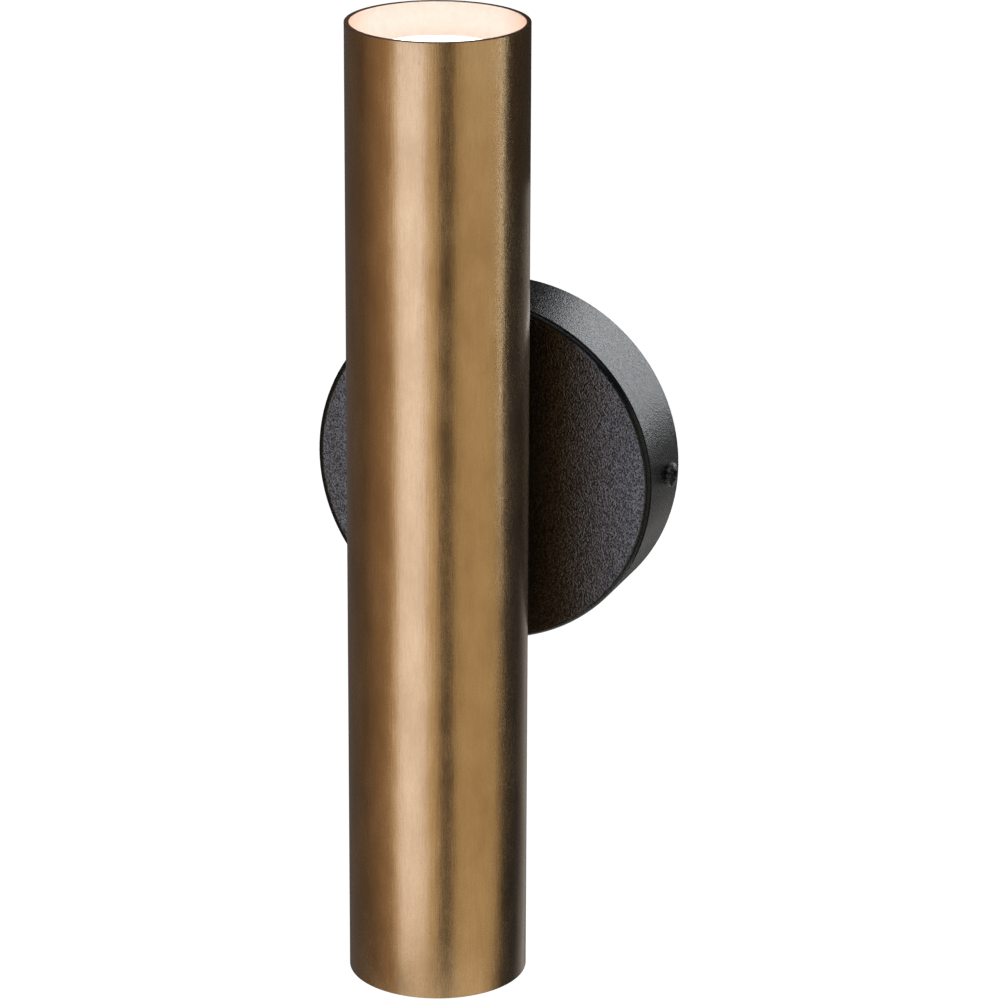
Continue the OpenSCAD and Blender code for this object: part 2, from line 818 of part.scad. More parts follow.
// A strip clamped behind the tube nut, with both ends bent out as shelves for the lampholders
module lamp_carrier() {
    color(zinc_colour) difference() {
        union() {
            wall() translate([-carrier_w / 2, -shelf_top, carrier_out])
                cube([carrier_w, 2 * shelf_top, carrier_t]);
            for (upper = [true, false])
                along_tube(upper) translate([0, 0, shelf_low]) {
                    cylinder(d = shelf_d, h = carrier_t);
                    translate([-carrier_w / 2, upper ? 0 : carrier_out - tube_axis_out, 0])
                        cube([carrier_w, tube_axis_out - carrier_out, carrier_t]);
                }
        }
        wall() translate([0, 0, carrier_out - over])
            cylinder(d = nipple_d + 2 * fit_gap, h = carrier_t + 2 * over);
        wall() translate([0, carrier_earth_up, carrier_out - over])
            cylinder(d = earth_screw_d + 2 * fit_gap, h = carrier_t + 2 * over);
        for (upper = [true, false])
            along_tube(upper) translate([0, 0, shelf_low - over]) {
                cylinder(d = shelf_hole_d, h = carrier_t + 2 * over);
                at_holder_screws() cylinder(d = holder_screw_d + 2 * fit_gap, h = carrier_t + 2 * over);
            }
    }
}

module at_holder_screws() {
    for (s = [-1, 1])
        translate([0, s * holder_screw_spacing / 2, 0]) children();
}

// The short slot for one pin, from the locked place to the way in
module pin_slot(width, low, high) {
    r = pin_spacing / 2;
    chord = 2 * r * sin(lock_turn / 2);
    translate([0, 0, low]) {
        for (a = [0, lock_turn])
            rotate(a) translate([r, 0, 0]) cylinder(d = width, h = high - low);
        rotate(lock_turn / 2) translate([r * cos(lock_turn / 2) - width / 2 + fit_gap, -chord / 2, 0])
            cube([width - 2 * fit_gap, chord, high - low]);
    }
}

// A round ceramic lampholder with two slots that lock the pins by a turn
module lampholder(upper) {
    neck_w = pin_neck_d + 2 * pin_gap;
    head_w = pin_head_d + 2 * pin_gap;
    floor_up = holder_top - head_room_depth;
    color(ceramic_colour) along_tube(upper) difference() {
        translate([0, 0, shelf_top]) rotate_extrude() polygon([
            [0, 0],
            [holder_d / 2, 0],
            [holder_d / 2, holder_h - holder_chamfer],
            [holder_d / 2 - holder_chamfer, holder_h],
            [0, holder_h]
        ]);
        for (a = [0, 180]) rotate(a) {
            pin_slot(head_w, floor_up, holder_top - lip_depth);
            pin_slot(neck_w, holder_top - lip_depth - turn_gap, holder_top + over);
            rotate(lock_turn) translate([pin_spacing / 2, 0, holder_top - lip_depth - turn_gap])
                cylinder(d = head_w + 2 * fit_gap, h = lip_depth + turn_gap + over);
            translate([pin_spacing / 2, 0, floor_up - contact_t])
                cylinder(d = contact_d + 2 * fit_gap, h = contact_t + over);
            translate([pin_spacing / 2, 0, shelf_top - over])
                cylinder(d = lead_d + 2 * pass_gap, h = floor_up - shelf_top + over);
        }
        at_holder_screws() {
            translate([0, 0, shelf_top - over]) cylinder(d = holder_screw_d + 2 * pass_gap, h = holder_h);
            translate([0, 0, holder_top - holder_head_sink])
                cylinder(d = holder_head_d + 2 * pass_gap, h = holder_head_sink + over);
        }
    }
}

module upper_lampholder() {
    lampholder(true);
}

module lower_lampholder() {
    lampholder(false);
}

contact_low = holder_top - head_room_depth - contact_t - contact_stem_len;

module holder_contacts() {
    color(copper_colour)
        for (upper = [true, false])
            along_tube(upper)
                for (s = [-1, 1])
                    translate([s * pin_spacing / 2, 0, contact_low]) {
                        translate([0, 0, contact_stem_len]) cylinder(d = contact_d, h = contact_t);
                        cylinder(d = contact_stem_d, h = contact_stem_len);
                    }
}

holder_head_low = holder_top - holder_head_sink;

module holder_screws() {
    tip = shelf_low - holder_nut_t - holder_screw_end;
    color(zinc_colour)
        for (upper = [true, false])
            along_tube(upper) at_holder_screws() translate([0, 0, holder_head_low])
                pan_screw(holder_screw_d, holder_head_low - tip, holder_head_d, holder_head_h);
}

module holder_nuts() {
    color(zinc_colour)
        for (upper = [true, false])
            along_tube(upper) at_holder_screws() translate([0, 0, shelf_low - holder_nut_t])
                hex_nut(holder_nut_af, holder_screw_d + 2 * fit_gap, holder_nut_t);
}

// Where the leads leave the bush in the tip of the nipple, and where they then begin to bend
bush_end_out = nipple_tip_out + bush_flange_t;
bend_out = bush_end_out + lead_d;

// A lamp lead from ring place i in the nipple to a contact of the upper or lower holder
module lamp_lead(i, up, side) {
    start = ring_place(i);
    x = side * pin_spacing / 2;
    lead([
        [start[0], start[1], lead_split_out],
        [start[0], start[1], (lead_split_out + bush_end_out) / 2],
        [start[0], start[1], bush_end_out],
        [start[0], start[1], bend_out],
        [
            start[0] + side * lead_d,
            start[1] + up * bend_up_share * lead_d,
            bend_out + bend_out_share * lead_d
        ],
        [x, up * fan_up_share * lead_d, tube_axis_out - lead_d / 2],
        [x, up * shelf_low / 2, tube_axis_out],
        [x, up * (shelf_low - holder_run_share * lead_d), tube_axis_out],
        [x, up * shelf_top, tube_axis_out],
        [x, up * contact_low, tube_axis_out]
    ]);
}

module live_lamp_leads() {
    color(live_colour) wall() {
        lamp_lead(0, 1, 1);
        lamp_lead(4, -1, 1);
    }
}

module neutral_lamp_leads() {
    color(neutral_colour) wall() {
        lamp_lead(2, 1, -1);
        lamp_lead(3, -1, -1);
    }
}

// Earth point on the carrier, above the nipple
carrier_earth_up = nipple_nut_af + tag_d + tag_barrel_len;
carrier_tag_out = carrier_out + carrier_t;

module earth_lamp_lead() {
    start = ring_place(1);
    barrel = [0, carrier_earth_up - tag_neck - tag_barrel_len / 2, carrier_tag_out + tag_barrel_d / 2];
    color(earth_colour) wall() lead([
        [start[0], start[1], lead_split_out],
        [start[0], start[1], (lead_split_out + bush_end_out) / 2],
        [start[0], start[1], bush_end_out],
        [start[0], start[1], bend_out],
        [start[0], start[1] + bend_up_share * lead_d, bend_out + lead_d],
        [start[0], (start[1] + barrel[1]) / 2 + lead_d, (bend_out + barrel[2]) / 2 + lead_d],
        barrel - [0, tag_barrel_len, 0],
        barrel
    ]);
}

module carrier_earth_tag() {
    color(copper_colour) wall() translate([0, carrier_earth_up, carrier_tag_out]) rotate(180)
        ring_tag(earth_screw_d + 2 * fit_gap);
}

module carrier_earth_screw() {
    color(zinc_colour) wall() translate([0, carrier_earth_up, carrier_tag_out + tag_t])
        pan_screw(earth_screw_d, tag_t + carrier_t, earth_head_d, earth_head_h);
}

// Lamp, drawn from its seat on the holder towards its front
module lamp_base(upper) {
    color(white_colour) along_tube(upper) translate([0, 0, lamp_seat]) rotate_extrude() polygon([
        [0, 0],
        [base_foot_r - base_round_h / 2, 0],
        [base_foot_r, base_round_h / 2],
        [base_waist_r, base_h - base_round_h],
        [shell_foot_r, base_h],
        [0, base_h]
    ]);
}

module lamp_pins(upper) {
    color(copper_colour) along_tube(upper)
        for (s = [-1, 1])
            translate([s * pin_spacing / 2, 0, lamp_seat - pin_len]) {
                cylinder(d = pin_head_d, h = pin_head_t);
                cylinder(d = pin_neck_d, h = pin_len);
            }
}

module lamp_shell(upper) {
    r = lamp_d / 2;
    band_low = lamp_len - shell_band_h;
    lens_low = lamp_len - lens_sink - lens_t;
    color(white_colour) along_tube(upper) translate([0, 0, lamp_seat]) difference() {
        rotate_extrude() polygon([
            [sink_bore_d / 2, base_h],
            [shell_foot_r, base_h],
            [r - shell_t / 2, band_low],
            [r, band_low + shell_t / 2],
            [r, lamp_len - shell_t / 2],
            [r - shell_t / 2, lamp_len],
            [r - shell_rim_w, lamp_len],
            [r - shell_rim_w, lens_low],
            [r - shell_rim_w - shell_t, lens_low],
            [r - shell_rim_w - shell_t, band_low],
            [board_r, base_h + sink_h],
            [sink_bore_d / 2, base_h + sink_h]
        ]);
        for (i = [0 : fin_count - 1])
            rotate(i * 360 / fin_count) translate([shell_foot_r - fin_depth, -fin_gap_w / 2, base_h - over])
                cube([r, fin_gap_w, sink_h / 2 + over]);
    }
}

module lamp_board(upper) {
    color(white_colour) along_tube(upper) translate([0, 0, lamp_seat + base_h + sink_h]) {
        cylinder(r = board_r - fit_gap, h = board_t);
        for (i = [0 : led_count - 1])
            rotate(i * 360 / led_count) translate([led_ring_r - led_side / 2, -led_side / 2, board_t])
                cube([led_side, led_side, led_t]);
    }
}

module lamp_lens(upper) {
    color(glow_colour) along_tube(upper) translate([0, 0, lamp_front - lens_sink - lens_t])
        cylinder(r = lamp_d / 2 - shell_rim_w - fit_gap, h = lens_t);
}

module upper_lamp_base() {
    lamp_base(true);
}

module lower_lamp_base() {
    lamp_base(false);
}

module upper_lamp_pins() {
    lamp_pins(true);
}

module lower_lamp_pins() {
    lamp_pins(false);
}

module upper_lamp_shell() {
    lamp_shell(true);
}

module lower_lamp_shell() {
    lamp_shell(false);
}

module upper_lamp_board() {
    lamp_board(true);
}

module lower_lamp_board() {
    lamp_board(false);
}

module upper_lamp_lens() {
    lamp_lens(true);
}

module lower_lamp_lens() {
    lamp_lens(false);
}

// A piece at a side screw, with z pointing away from the centre of the canopy
module at_side(s, x) {
    wall() translate([s * x, 0, side_screw_out]) rotate([0, 90 * s, 0]) children();
}

module side_screw(s) {
    color(black_colour) at_side(s, side_head_x)
        rotate(45) pan_screw(side_screw_d, side_screw_len, side_head_d, side_head_h, button_share);
}

module side_washer(s) {
    color(black_colour) at_side(s, side_washer_x)
        toothed_washer(side_washer_d, side_screw_d + 2 * turn_gap, side_washer_t);
}

module right_side_screw() {
    side_screw(1);
}

module right_side_washer() {
    side_washer(1);
}

module left_side_screw() {
    side_screw(-1);
}

module left_side_washer() {
    side_washer(-1);
}

wall_bracket();
cable_grommet();
terminal_block();
terminal_clamps();
terminal_screws();
terminal_fixing_screws();
earth_screw();
earth_washer();
earth_ring_tag();
bracket_earth_lead();
live_feed_leads();
neutral_feed_leads();
earth_feed_lead();
canopy();
right_rim_nut();
left_rim_nut();
front_friction_washer();
rear_friction_washer();
stop_pin();
lamp_tube();
swivel_nipple();
nipple_bushes();
saddle_collar();
inner_saddle();
tube_nut();
stop_washer();
disc_spring();
lock_nut();
lamp_carrier();
upper_lampholder();
lower_lampholder();
holder_contacts();
holder_screws();
holder_nuts();
live_lamp_leads();
neutral_lamp_leads();
earth_lamp_lead();
carrier_earth_tag();
carrier_earth_screw();
upper_lamp_base();
upper_lamp_pins();
upper_lamp_shell();
upper_lamp_board();
upper_lamp_lens();
lower_lamp_base();
lower_lamp_pins();
lower_lamp_shell();
lower_lamp_board();
lower_lamp_lens();
right_side_screw();
right_side_washer();
left_side_screw();
left_side_washer();
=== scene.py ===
"""Looks of a wall light: a brushed brass tube that shines up and down, on a round black canopy.

Metres, in the frame of the CAD part: the wall is y = 0, the light stands out towards -Y, +Z is up.
"""

import json
import math

import bmesh
import bpy
from mathutils import Matrix, Vector


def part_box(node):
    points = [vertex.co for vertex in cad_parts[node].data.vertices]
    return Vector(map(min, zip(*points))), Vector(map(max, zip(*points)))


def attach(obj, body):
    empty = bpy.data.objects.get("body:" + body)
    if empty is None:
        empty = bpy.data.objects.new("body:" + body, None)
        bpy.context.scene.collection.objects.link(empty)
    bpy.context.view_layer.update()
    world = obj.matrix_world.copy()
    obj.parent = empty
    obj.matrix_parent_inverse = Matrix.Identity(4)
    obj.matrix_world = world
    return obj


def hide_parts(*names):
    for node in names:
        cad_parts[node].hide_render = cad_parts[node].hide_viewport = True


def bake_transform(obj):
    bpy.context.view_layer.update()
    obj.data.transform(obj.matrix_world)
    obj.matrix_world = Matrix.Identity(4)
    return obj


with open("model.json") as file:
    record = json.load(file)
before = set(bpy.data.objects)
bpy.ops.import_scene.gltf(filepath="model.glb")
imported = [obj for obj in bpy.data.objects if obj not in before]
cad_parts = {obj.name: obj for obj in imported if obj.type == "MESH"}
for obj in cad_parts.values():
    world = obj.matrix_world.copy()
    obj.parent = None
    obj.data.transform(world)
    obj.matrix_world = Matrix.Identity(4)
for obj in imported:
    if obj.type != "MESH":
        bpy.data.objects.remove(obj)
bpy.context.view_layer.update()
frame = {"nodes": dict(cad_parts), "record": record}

MM = 0.001
FULL_TURN = 360

# The part's sizes

TUBE_LOW, TUBE_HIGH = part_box("lamp_tube")
TUBE_R = (TUBE_HIGH.x - TUBE_LOW.x) / 2
TUBE_WALL = 1.6 * MM
TUBE_AXIS_Y = (TUBE_LOW.y + TUBE_HIGH.y) / 2
TUBE_HALF = TUBE_HIGH.z
TUBE_EDGE = 0.14 * MM

NIPPLE_LOW, NIPPLE_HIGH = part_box("swivel_nipple")
NIPPLE_R = NIPPLE_HIGH.x
NIPPLE_HOLE_GAP = 0.05 * MM

CANOPY_LOW, CANOPY_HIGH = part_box("canopy")
CANOPY_EDGE = 1.8 * MM
CANOPY_SHEET = 1.5 * MM

LAMP_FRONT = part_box("upper_lamp_shell")[1].z
LAMP_BAND = 6 * MM

SCREW_PITCH = 0.7 * MM
SCREW_THREAD_R = 2.0 * MM
SCREW_THREAD_DEPTH = 0.36 * MM
SCREW_HEAD_EDGE = 0.12 * MM
SCREW_DOME_SHARE = 0.45

# The cross recess, in shares of the screw's head, and the taper of the blade that cuts it
RECESS_REACH_SHARE = 0.70
RECESS_WIDTH_SHARE = 0.22
RECESS_DEPTH_SHARE = 0.7
BLADE_TIP_REACH = 0.42
BLADE_TIP_WIDTH = 0.8
BLADE_RISE = 0.6

LEAD_D = 1.8 * MM
LEAD_GAP = 0.15 * MM
LEAD_COUNT = 5

# How finely round shapes are drawn

SHARP_ANGLE = math.radians(32)
LEAD_SHARP_ANGLE = math.radians(60)
TUBE_SIDES = 192
TUBE_ROW_HEIGHTS = (0.03, 0.06, 0.12)
EDGE_STEPS = 3
DRILL_SIDES = 64
HEAD_SIDES = 64
DOME_STEPS = 12
THREAD_SIDES = 32
ROWS_PER_PITCH = 8
LEAD_SIDES = 14
LEAD_STEPS = 12

# Camera, as fitted to the photograph

CAMERA_AZIMUTH = math.radians(20.646)
CAMERA_ELEVATION = math.radians(19.009)
CAMERA_ROLL = math.radians(0.247)
CAMERA_PLACE = (0.53684, -1.43702, 0.50839)
CAMERA_LENS_MM = 169.47
CAMERA_NEAR, CAMERA_FAR = 0.05, 60


def make_camera():
    """The camera that sees the object as the photograph shows it."""
    level, rise = math.cos(CAMERA_ELEVATION), math.sin(CAMERA_ELEVATION)
    back = Vector((math.sin(CAMERA_AZIMUTH) * level, -math.cos(CAMERA_AZIMUTH) * level, rise))
    right = Vector((0, 0, 1)).cross(back).normalized()
    up = back.cross(right)
    cosine, sine = math.cos(CAMERA_ROLL), math.sin(CAMERA_ROLL)
    turn = Matrix((cosine * right + sine * up, cosine * up - sine * right, back)).transposed()
    data = bpy.data.cameras.new("camera")
    data.lens = CAMERA_LENS_MM
    data.clip_start, data.clip_end = CAMERA_NEAR, CAMERA_FAR
    camera = bpy.data.objects.new("camera", data)
    camera.matrix_world = Matrix.Translation(CAMERA_PLACE) @ turn.to_4x4()
    bpy.context.scene.collection.objects.link(camera)
    bpy.context.scene.camera = camera


# Node helpers

SOCKETS = {
    "colour": "Base Color", "metallic": "Metallic", "roughness": "Roughness", "ior": "IOR",
    "coat": "Coat Weight", "coat_roughness": "Coat Roughness", "coat_ior": "Coat IOR",
    "specular": "Specular IOR Level", "specular_tint": "Specular Tint", "glow": "Emission Color",
    "glow_strength": "Emission Strength", "translucent": "Subsurface Weight",
}

# The places of a colour mix's sockets, which come among those for numbers and vectors
MIX_FACTOR, MIX_FIRST, MIX_SECOND, MIX_RESULT = 0, 6, 7, 2


class Nodes:
    """A material's node tree, with short calls for the nodes that the finishes share."""

    def __init__(self, name):
        self.material = bpy.data.materials.new(name)
        self.material.use_nodes = True
        self.tree = self.material.node_tree
        self.shader = self.tree.nodes["Principled BSDF"]
        self.place = self.add("ShaderNodeTexCoord").outputs["Object"]

    def add(self, kind, **settings):
        """A new node of that kind."""
        node = self.tree.nodes.new(kind)
        for key, value in settings.items():
            setattr(node, key, value)
        return node

    def link(self, source, target):
        self.tree.links.new(source, target)

    def feed(self, socket, value):
        """Gives a socket a number or a colour, or links another socket to it."""
        if isinstance(value, (int, float)):
            socket.default_value = value
        elif isinstance(value, tuple):
            socket.default_value = (*value, 1)
        else:
            self.link(value, socket)

    def coordinates(self):
        """The three object coordinates, each on its own."""
        split = self.add("ShaderNodeSeparateXYZ")
        self.link(self.place, split.inputs[0])
        return split.outputs

    def noise(self, scale, stretch=(1, 1, 1), detail=4.0, roughness=0.5):
        """Noise of that scale, in object coordinates that are stretched by a number for each axis."""
        mapping = self.add("ShaderNodeMapping", vector_type="POINT")
        mapping.inputs["Scale"].default_value = stretch
        self.link(self.place, mapping.inputs["Vector"])
        node = self.add("ShaderNodeTexNoise")
        node.inputs["Scale"].default_value = scale
        node.inputs["Detail"].default_value = detail
        node.inputs["Roughness"].default_value = roughness
        self.link(mapping.outputs["Vector"], node.inputs["Vector"])
        return node.outputs["Fac"]

    def ramp(self, source, stops):
        """A value turned into a colour by (place, colour) stops."""
        node = self.add("ShaderNodeValToRGB")
        while len(node.color_ramp.elements) < len(stops):
            node.color_ramp.elements.new(0.5)
        for element, (place, colour) in zip(node.color_ramp.elements, stops):
            element.position = place
            element.color = (*colour, 1)
        self.link(source, node.inputs["Fac"])
        return node.outputs["Color"]

    def between(self, source, low, high, from_low=0.3, from_high=0.7):
        """A value moved from one range to another, held at its ends."""
        node = self.add("ShaderNodeMapRange")
        ends = {"From Min": from_low, "From Max": from_high, "To Min": low, "To Max": high}
        for key, value in ends.items():
            node.inputs[key].default_value = value
        self.link(source, node.inputs["Value"])
        return node.outputs["Result"]

    def mix(self, factor, first, second):
        """A colour between two others."""
        node = self.add("ShaderNodeMix", data_type="RGBA")
        self.feed(node.inputs[MIX_FACTOR], factor)
        self.feed(node.inputs[MIX_FIRST], first)
        self.feed(node.inputs[MIX_SECOND], second)
        return node.outputs[MIX_RESULT]

    def maths(self, kind, first, second=0.0):
        """The result of one step of arithmetic."""
        node = self.add("ShaderNodeMath", operation=kind)
        self.feed(node.inputs[0], first)
        self.feed(node.inputs[1], second)
        return node.outputs[0]

    def total(self, *shares):
        """The sum of (value, weight) shares."""
        parts = [self.maths("MULTIPLY", value, weight) for value, weight in shares]
        summed = parts[0]
        for part in parts[1:]:
            summed = self.maths("ADD", summed, part)
        return summed

    def bump(self, height, strength, distance):
        """Relief on the finish, from a height that runs from 0 to about 1."""
        node = self.add("ShaderNodeBump")
        node.inputs["Strength"].default_value = strength
        node.inputs["Distance"].default_value = distance
        self.link(height, node.inputs["Height"])
        self.link(node.outputs["Normal"], self.shader.inputs["Normal"])

    def put(self, **values):
        """Numbers, colours or links for the shader's sockets, by their short names."""
        for key, value in values.items():
            self.feed(self.shader.inputs[SOCKETS[key]], value)


# Finishes

PAINT_EDGE_FADE = 0.3 * MM
PAINT_EDGE_SKIN = 0.15
LAMP_STRENGTH = 2.5
LAMP_BAND_STRENGTH = 1.65
SOFT_DEPTH = 1 * MM


def aged_brass():
    """Brass brushed along the tube, with a mottled patina and dark specks under a thin lacquer."""
    nodes = Nodes("aged_brass")
    grain = nodes.noise(1, stretch=(2000, 2000, 300), detail=3, roughness=0.6)
    brush = nodes.noise(1, stretch=(1300, 1300, 60), detail=3, roughness=0.6)
    cloud = nodes.noise(1, stretch=(80, 80, 40), detail=6, roughness=0.62)
    wave = nodes.noise(1, stretch=(95, 95, 38), detail=2)
    speck = nodes.noise(1, stretch=(700, 700, 420), detail=2, roughness=0.6)
    brown, plain, pale = (0.42, 0.258, 0.112), (0.50, 0.315, 0.145), (0.57, 0.372, 0.182)
    stroke, scratch, tarnish = (0.36, 0.21, 0.085), (0.38, 0.225, 0.095), (0.17, 0.095, 0.045)
    colour = nodes.ramp(cloud, [(0.30, brown), (0.52, plain), (0.74, pale)])
    colour = nodes.mix(nodes.between(brush, 0.0, 0.22, 0.42, 0.72), colour, stroke)
    colour = nodes.mix(nodes.between(grain, 0.0, 0.16, 0.46, 0.76), colour, scratch)
    colour = nodes.mix(nodes.between(speck, 0.0, 0.35, 0.70, 0.80), colour, tarnish)
    rough = nodes.maths("ADD", nodes.between(grain, 0.21, 0.28), nodes.between(cloud, -0.03, 0.05))
    nodes.put(colour=colour, metallic=1.0, roughness=rough, coat=0.8, coat_roughness=0.25, coat_ior=1.5)
    nodes.bump(nodes.total((grain, 0.015), (brush, 0.028), (wave, 0.19)), 0.8, 1.0 * MM)
    return nodes.material


def cut_brass():
    """The sawn end of the tube: dark, with marks that run across."""
    nodes = Nodes("cut_brass")
    marks = nodes.noise(1, stretch=(1500, 1500, 300))
    dark, dull, bare = (0.10, 0.055, 0.034), (0.22, 0.125, 0.075), (0.36, 0.22, 0.13)
    nodes.put(colour=nodes.ramp(marks, [(0.3, dark), (0.6, dull), (0.8, bare)]), metallic=1.0,
              roughness=nodes.between(marks, 0.38, 0.55))
    nodes.bump(marks, 0.6, 0.06 * MM)
    return nodes.material


def inner_white():
    """White paint inside the tube, a little uneven, with a painted warm glow where it is seen at a low
    angle.
    """
    nodes = Nodes("inner_white")
    peel = nodes.noise(520, detail=3)
    facing = nodes.add("ShaderNodeLayerWeight")
    facing.inputs["Blend"].default_value = 0.5
    # Painted light: the colour turns warm where the wall is seen at a low angle, for the lamps' warm glow.
    painted_glow_mask = nodes.between(facing.outputs["Facing"], 0.0, 1.0, 0.30, 0.90)
    shade, white, painted_warm_glow = (0.84, 0.765, 0.705), (0.90, 0.825, 0.765), (0.88, 0.52, 0.40)
    paint = nodes.ramp(peel, [(0.3, shade), (0.7, white)])
    nodes.put(colour=nodes.mix(painted_glow_mask, paint, painted_warm_glow), roughness=0.5)
    nodes.bump(peel, 0.25, 0.05 * MM)
    return nodes.material


def black_paint():
    """Powder coat with a skin like an orange's that runs smooth over the front edge. Its pits are darker
    and duller, as painted shade, and the front edge has less shine and a bluish tint, as a painted dark
    bluish reflection band.

    The edge is where radius plus distance from the wall is more than on the face or the rim.
    """
    nodes = Nodes("black_paint")
    peel = nodes.noise(1850, detail=1.5)
    right, inward, up = nodes.coordinates()
    squares = nodes.maths("ADD", nodes.maths("MULTIPLY", right, right), nodes.maths("MULTIPLY", up, up))
    reach = nodes.maths("SUBTRACT", nodes.maths("SQRT", squares), inward)
    edge_reach = CANOPY_HIGH.x - CANOPY_LOW.y - CANOPY_EDGE
    fade_start, fade_end = edge_reach - PAINT_EDGE_FADE, edge_reach + PAINT_EDGE_FADE
    skin = nodes.between(reach, 1.0, PAINT_EDGE_SKIN, fade_start, fade_end)
    # Painted shade: the pits get less shine and a darker colour, for the shade inside them.
    painted_pit_dulling = nodes.between(peel, 0.20, 0.78, 0.36, 0.64)
    # Painted reflection: less shine at the front edge, for a dark reflection band.
    painted_edge_dulling = nodes.between(skin, 0.28, 1.0, PAINT_EDGE_SKIN, 1.0)
    # The edge colour is a painted bluish reflection tint for the front edge.
    painted_pit_shade, crest, edge = (0.0012, 0.0012, 0.0012), (0.0045, 0.0044, 0.0042), (0.005, 0.008, 0.010)
    flat = nodes.ramp(peel, [(0.3, painted_pit_shade), (0.7, crest)])
    nodes.put(colour=nodes.mix(nodes.between(skin, 1.0, 0.0, PAINT_EDGE_SKIN, 1.0), flat, edge),
              roughness=nodes.between(peel, 0.21, 0.15), ior=1.70,
              specular=nodes.maths("MULTIPLY", painted_pit_dulling, painted_edge_dulling), specular_tint=(1.0, 0.94, 0.86))
    nodes.bump(nodes.maths("MULTIPLY", peel, skin), 1.0, 0.18 * MM)
    return nodes.material


def black_screw():
    """Black finish on steel, worn a little."""
    nodes = Nodes("black_screw")
    wear = nodes.noise(1100, detail=3)
    black, worn = (0.004, 0.004, 0.0045), (0.016, 0.016, 0.017)
    nodes.put(colour=nodes.ramp(wear, [(0.35, black), (0.75, worn)]),
              roughness=nodes.between(wear, 0.2, 0.3), specular=0.7, ior=1.6)
    nodes.bump(wear, 0.9, 0.12 * MM)
    return nodes.material


def zinc_steel():
    """Zinc-plated steel with a faint spangle."""
    nodes = Nodes("zinc_steel")
    grain = nodes.noise(1, stretch=(180, 900, 900))
    spangle = nodes.noise(240, detail=2)
    grey, bright, dull = (0.56, 0.57, 0.59), (0.72, 0.73, 0.76), (0.47, 0.48, 0.50)
    colour = nodes.ramp(spangle, [(0.35, grey), (0.65, bright)])
    nodes.put(colour=nodes.mix(nodes.between(grain, 0.0, 0.3, 0.4, 0.7), colour, dull), metallic=1.0,
              roughness=nodes.between(grain, 0.28, 0.44))
    nodes.bump(grain, 0.25, 0.04 * MM)
    return nodes.material


def small_brass():
    """Bare turned brass."""
    nodes = Nodes("small_brass")
    turned = nodes.noise(1, stretch=(900, 900, 2400), detail=3)
    deep, bright = (0.62, 0.43, 0.19), (0.79, 0.60, 0.31)
    nodes.put(colour=nodes.ramp(turned, [(0.3, deep), (0.7, bright)]), metallic=1.0,
              roughness=nodes.between(turned, 0.24, 0.38))
    nodes.bump(turned, 0.25, 0.03 * MM)
    return nodes.material


def moulded(name, low, high, roughness, bump_distance=0.04 * MM, scale=700, translucent=0.0):
    """A moulded or fired material whose colour drifts between two shades."""
    nodes = Nodes(name)
    skin = nodes.noise(scale)
    drift = nodes.noise(60, detail=2)
    nodes.put(colour=nodes.ramp(nodes.total((skin, 0.6), (drift, 0.4)), [(0.35, low), (0.65, high)]),
              roughness=nodes.between(skin, roughness - 0.06, roughness + 0.06), translucent=translucent)
    nodes.shader.inputs["Subsurface Radius"].default_value = (SOFT_DEPTH, SOFT_DEPTH, SOFT_DEPTH)
    nodes.bump(skin, 0.3, bump_distance)
    return nodes.material


def insulation(name, low, high):
    """The plastic of a lead of one colour."""
    return moulded(name, low, high, 0.42, bump_distance=0.02 * MM, scale=900)


def earth_insulation():
    """Green insulation with two yellow stripes that run along each lead."""
    nodes = Nodes("earth_insulation")
    stripe = nodes.add("ShaderNodeVertexColor", layer_name="stripe").outputs["Color"]
    skin = nodes.noise(900, detail=2)
    dark_green, green, yellow = (0.07, 0.25, 0.03), (0.10, 0.32, 0.045), (0.72, 0.58, 0.04)
    nodes.put(colour=nodes.mix(stripe, nodes.ramp(skin, [(0.3, dark_green), (0.7, green)]), yellow),
              roughness=nodes.between(skin, 0.36, 0.48))
    nodes.bump(skin, 0.2, 0.02 * MM)
    return nodes.material


def lamp_glow():
    """The frosted lens of a lamp that is on."""
    nodes = Nodes("lamp_glow")
    frost = nodes.noise(1400, detail=2)
    lens, warm, warm_white = (0.92, 0.90, 0.86), (1.0, 0.91, 0.83), (1.0, 0.94, 0.87)
    nodes.put(colour=lens, roughness=0.35, glow=nodes.ramp(frost, [(0.3, warm), (0.7, warm_white)]),
              glow_strength=LAMP_STRENGTH)
    nodes.bump(frost, 0.4, 0.04 * MM)
    return nodes.material


def lamp_cover():
    """The lamp's white body, whose moulded front band lets some light through."""
    nodes = Nodes("lamp_metal")
    skin = nodes.noise(700)
    from_middle = nodes.maths("ABSOLUTE", nodes.coordinates()[2])
    band_start, band_full = LAMP_FRONT - LAMP_BAND, LAMP_FRONT - LAMP_BAND / 2
    band = nodes.between(from_middle, 0.0, LAMP_BAND_STRENGTH, band_start, band_full)
    shade, white, light = (0.80, 0.80, 0.79), (0.86, 0.86, 0.85), (1.0, 0.92, 0.84)
    nodes.put(colour=nodes.ramp(skin, [(0.35, shade), (0.65, white)]),
              roughness=nodes.between(skin, 0.30, 0.42), glow=light, glow_strength=band)
    nodes.bump(skin, 0.3, 0.04 * MM)
    return nodes.material


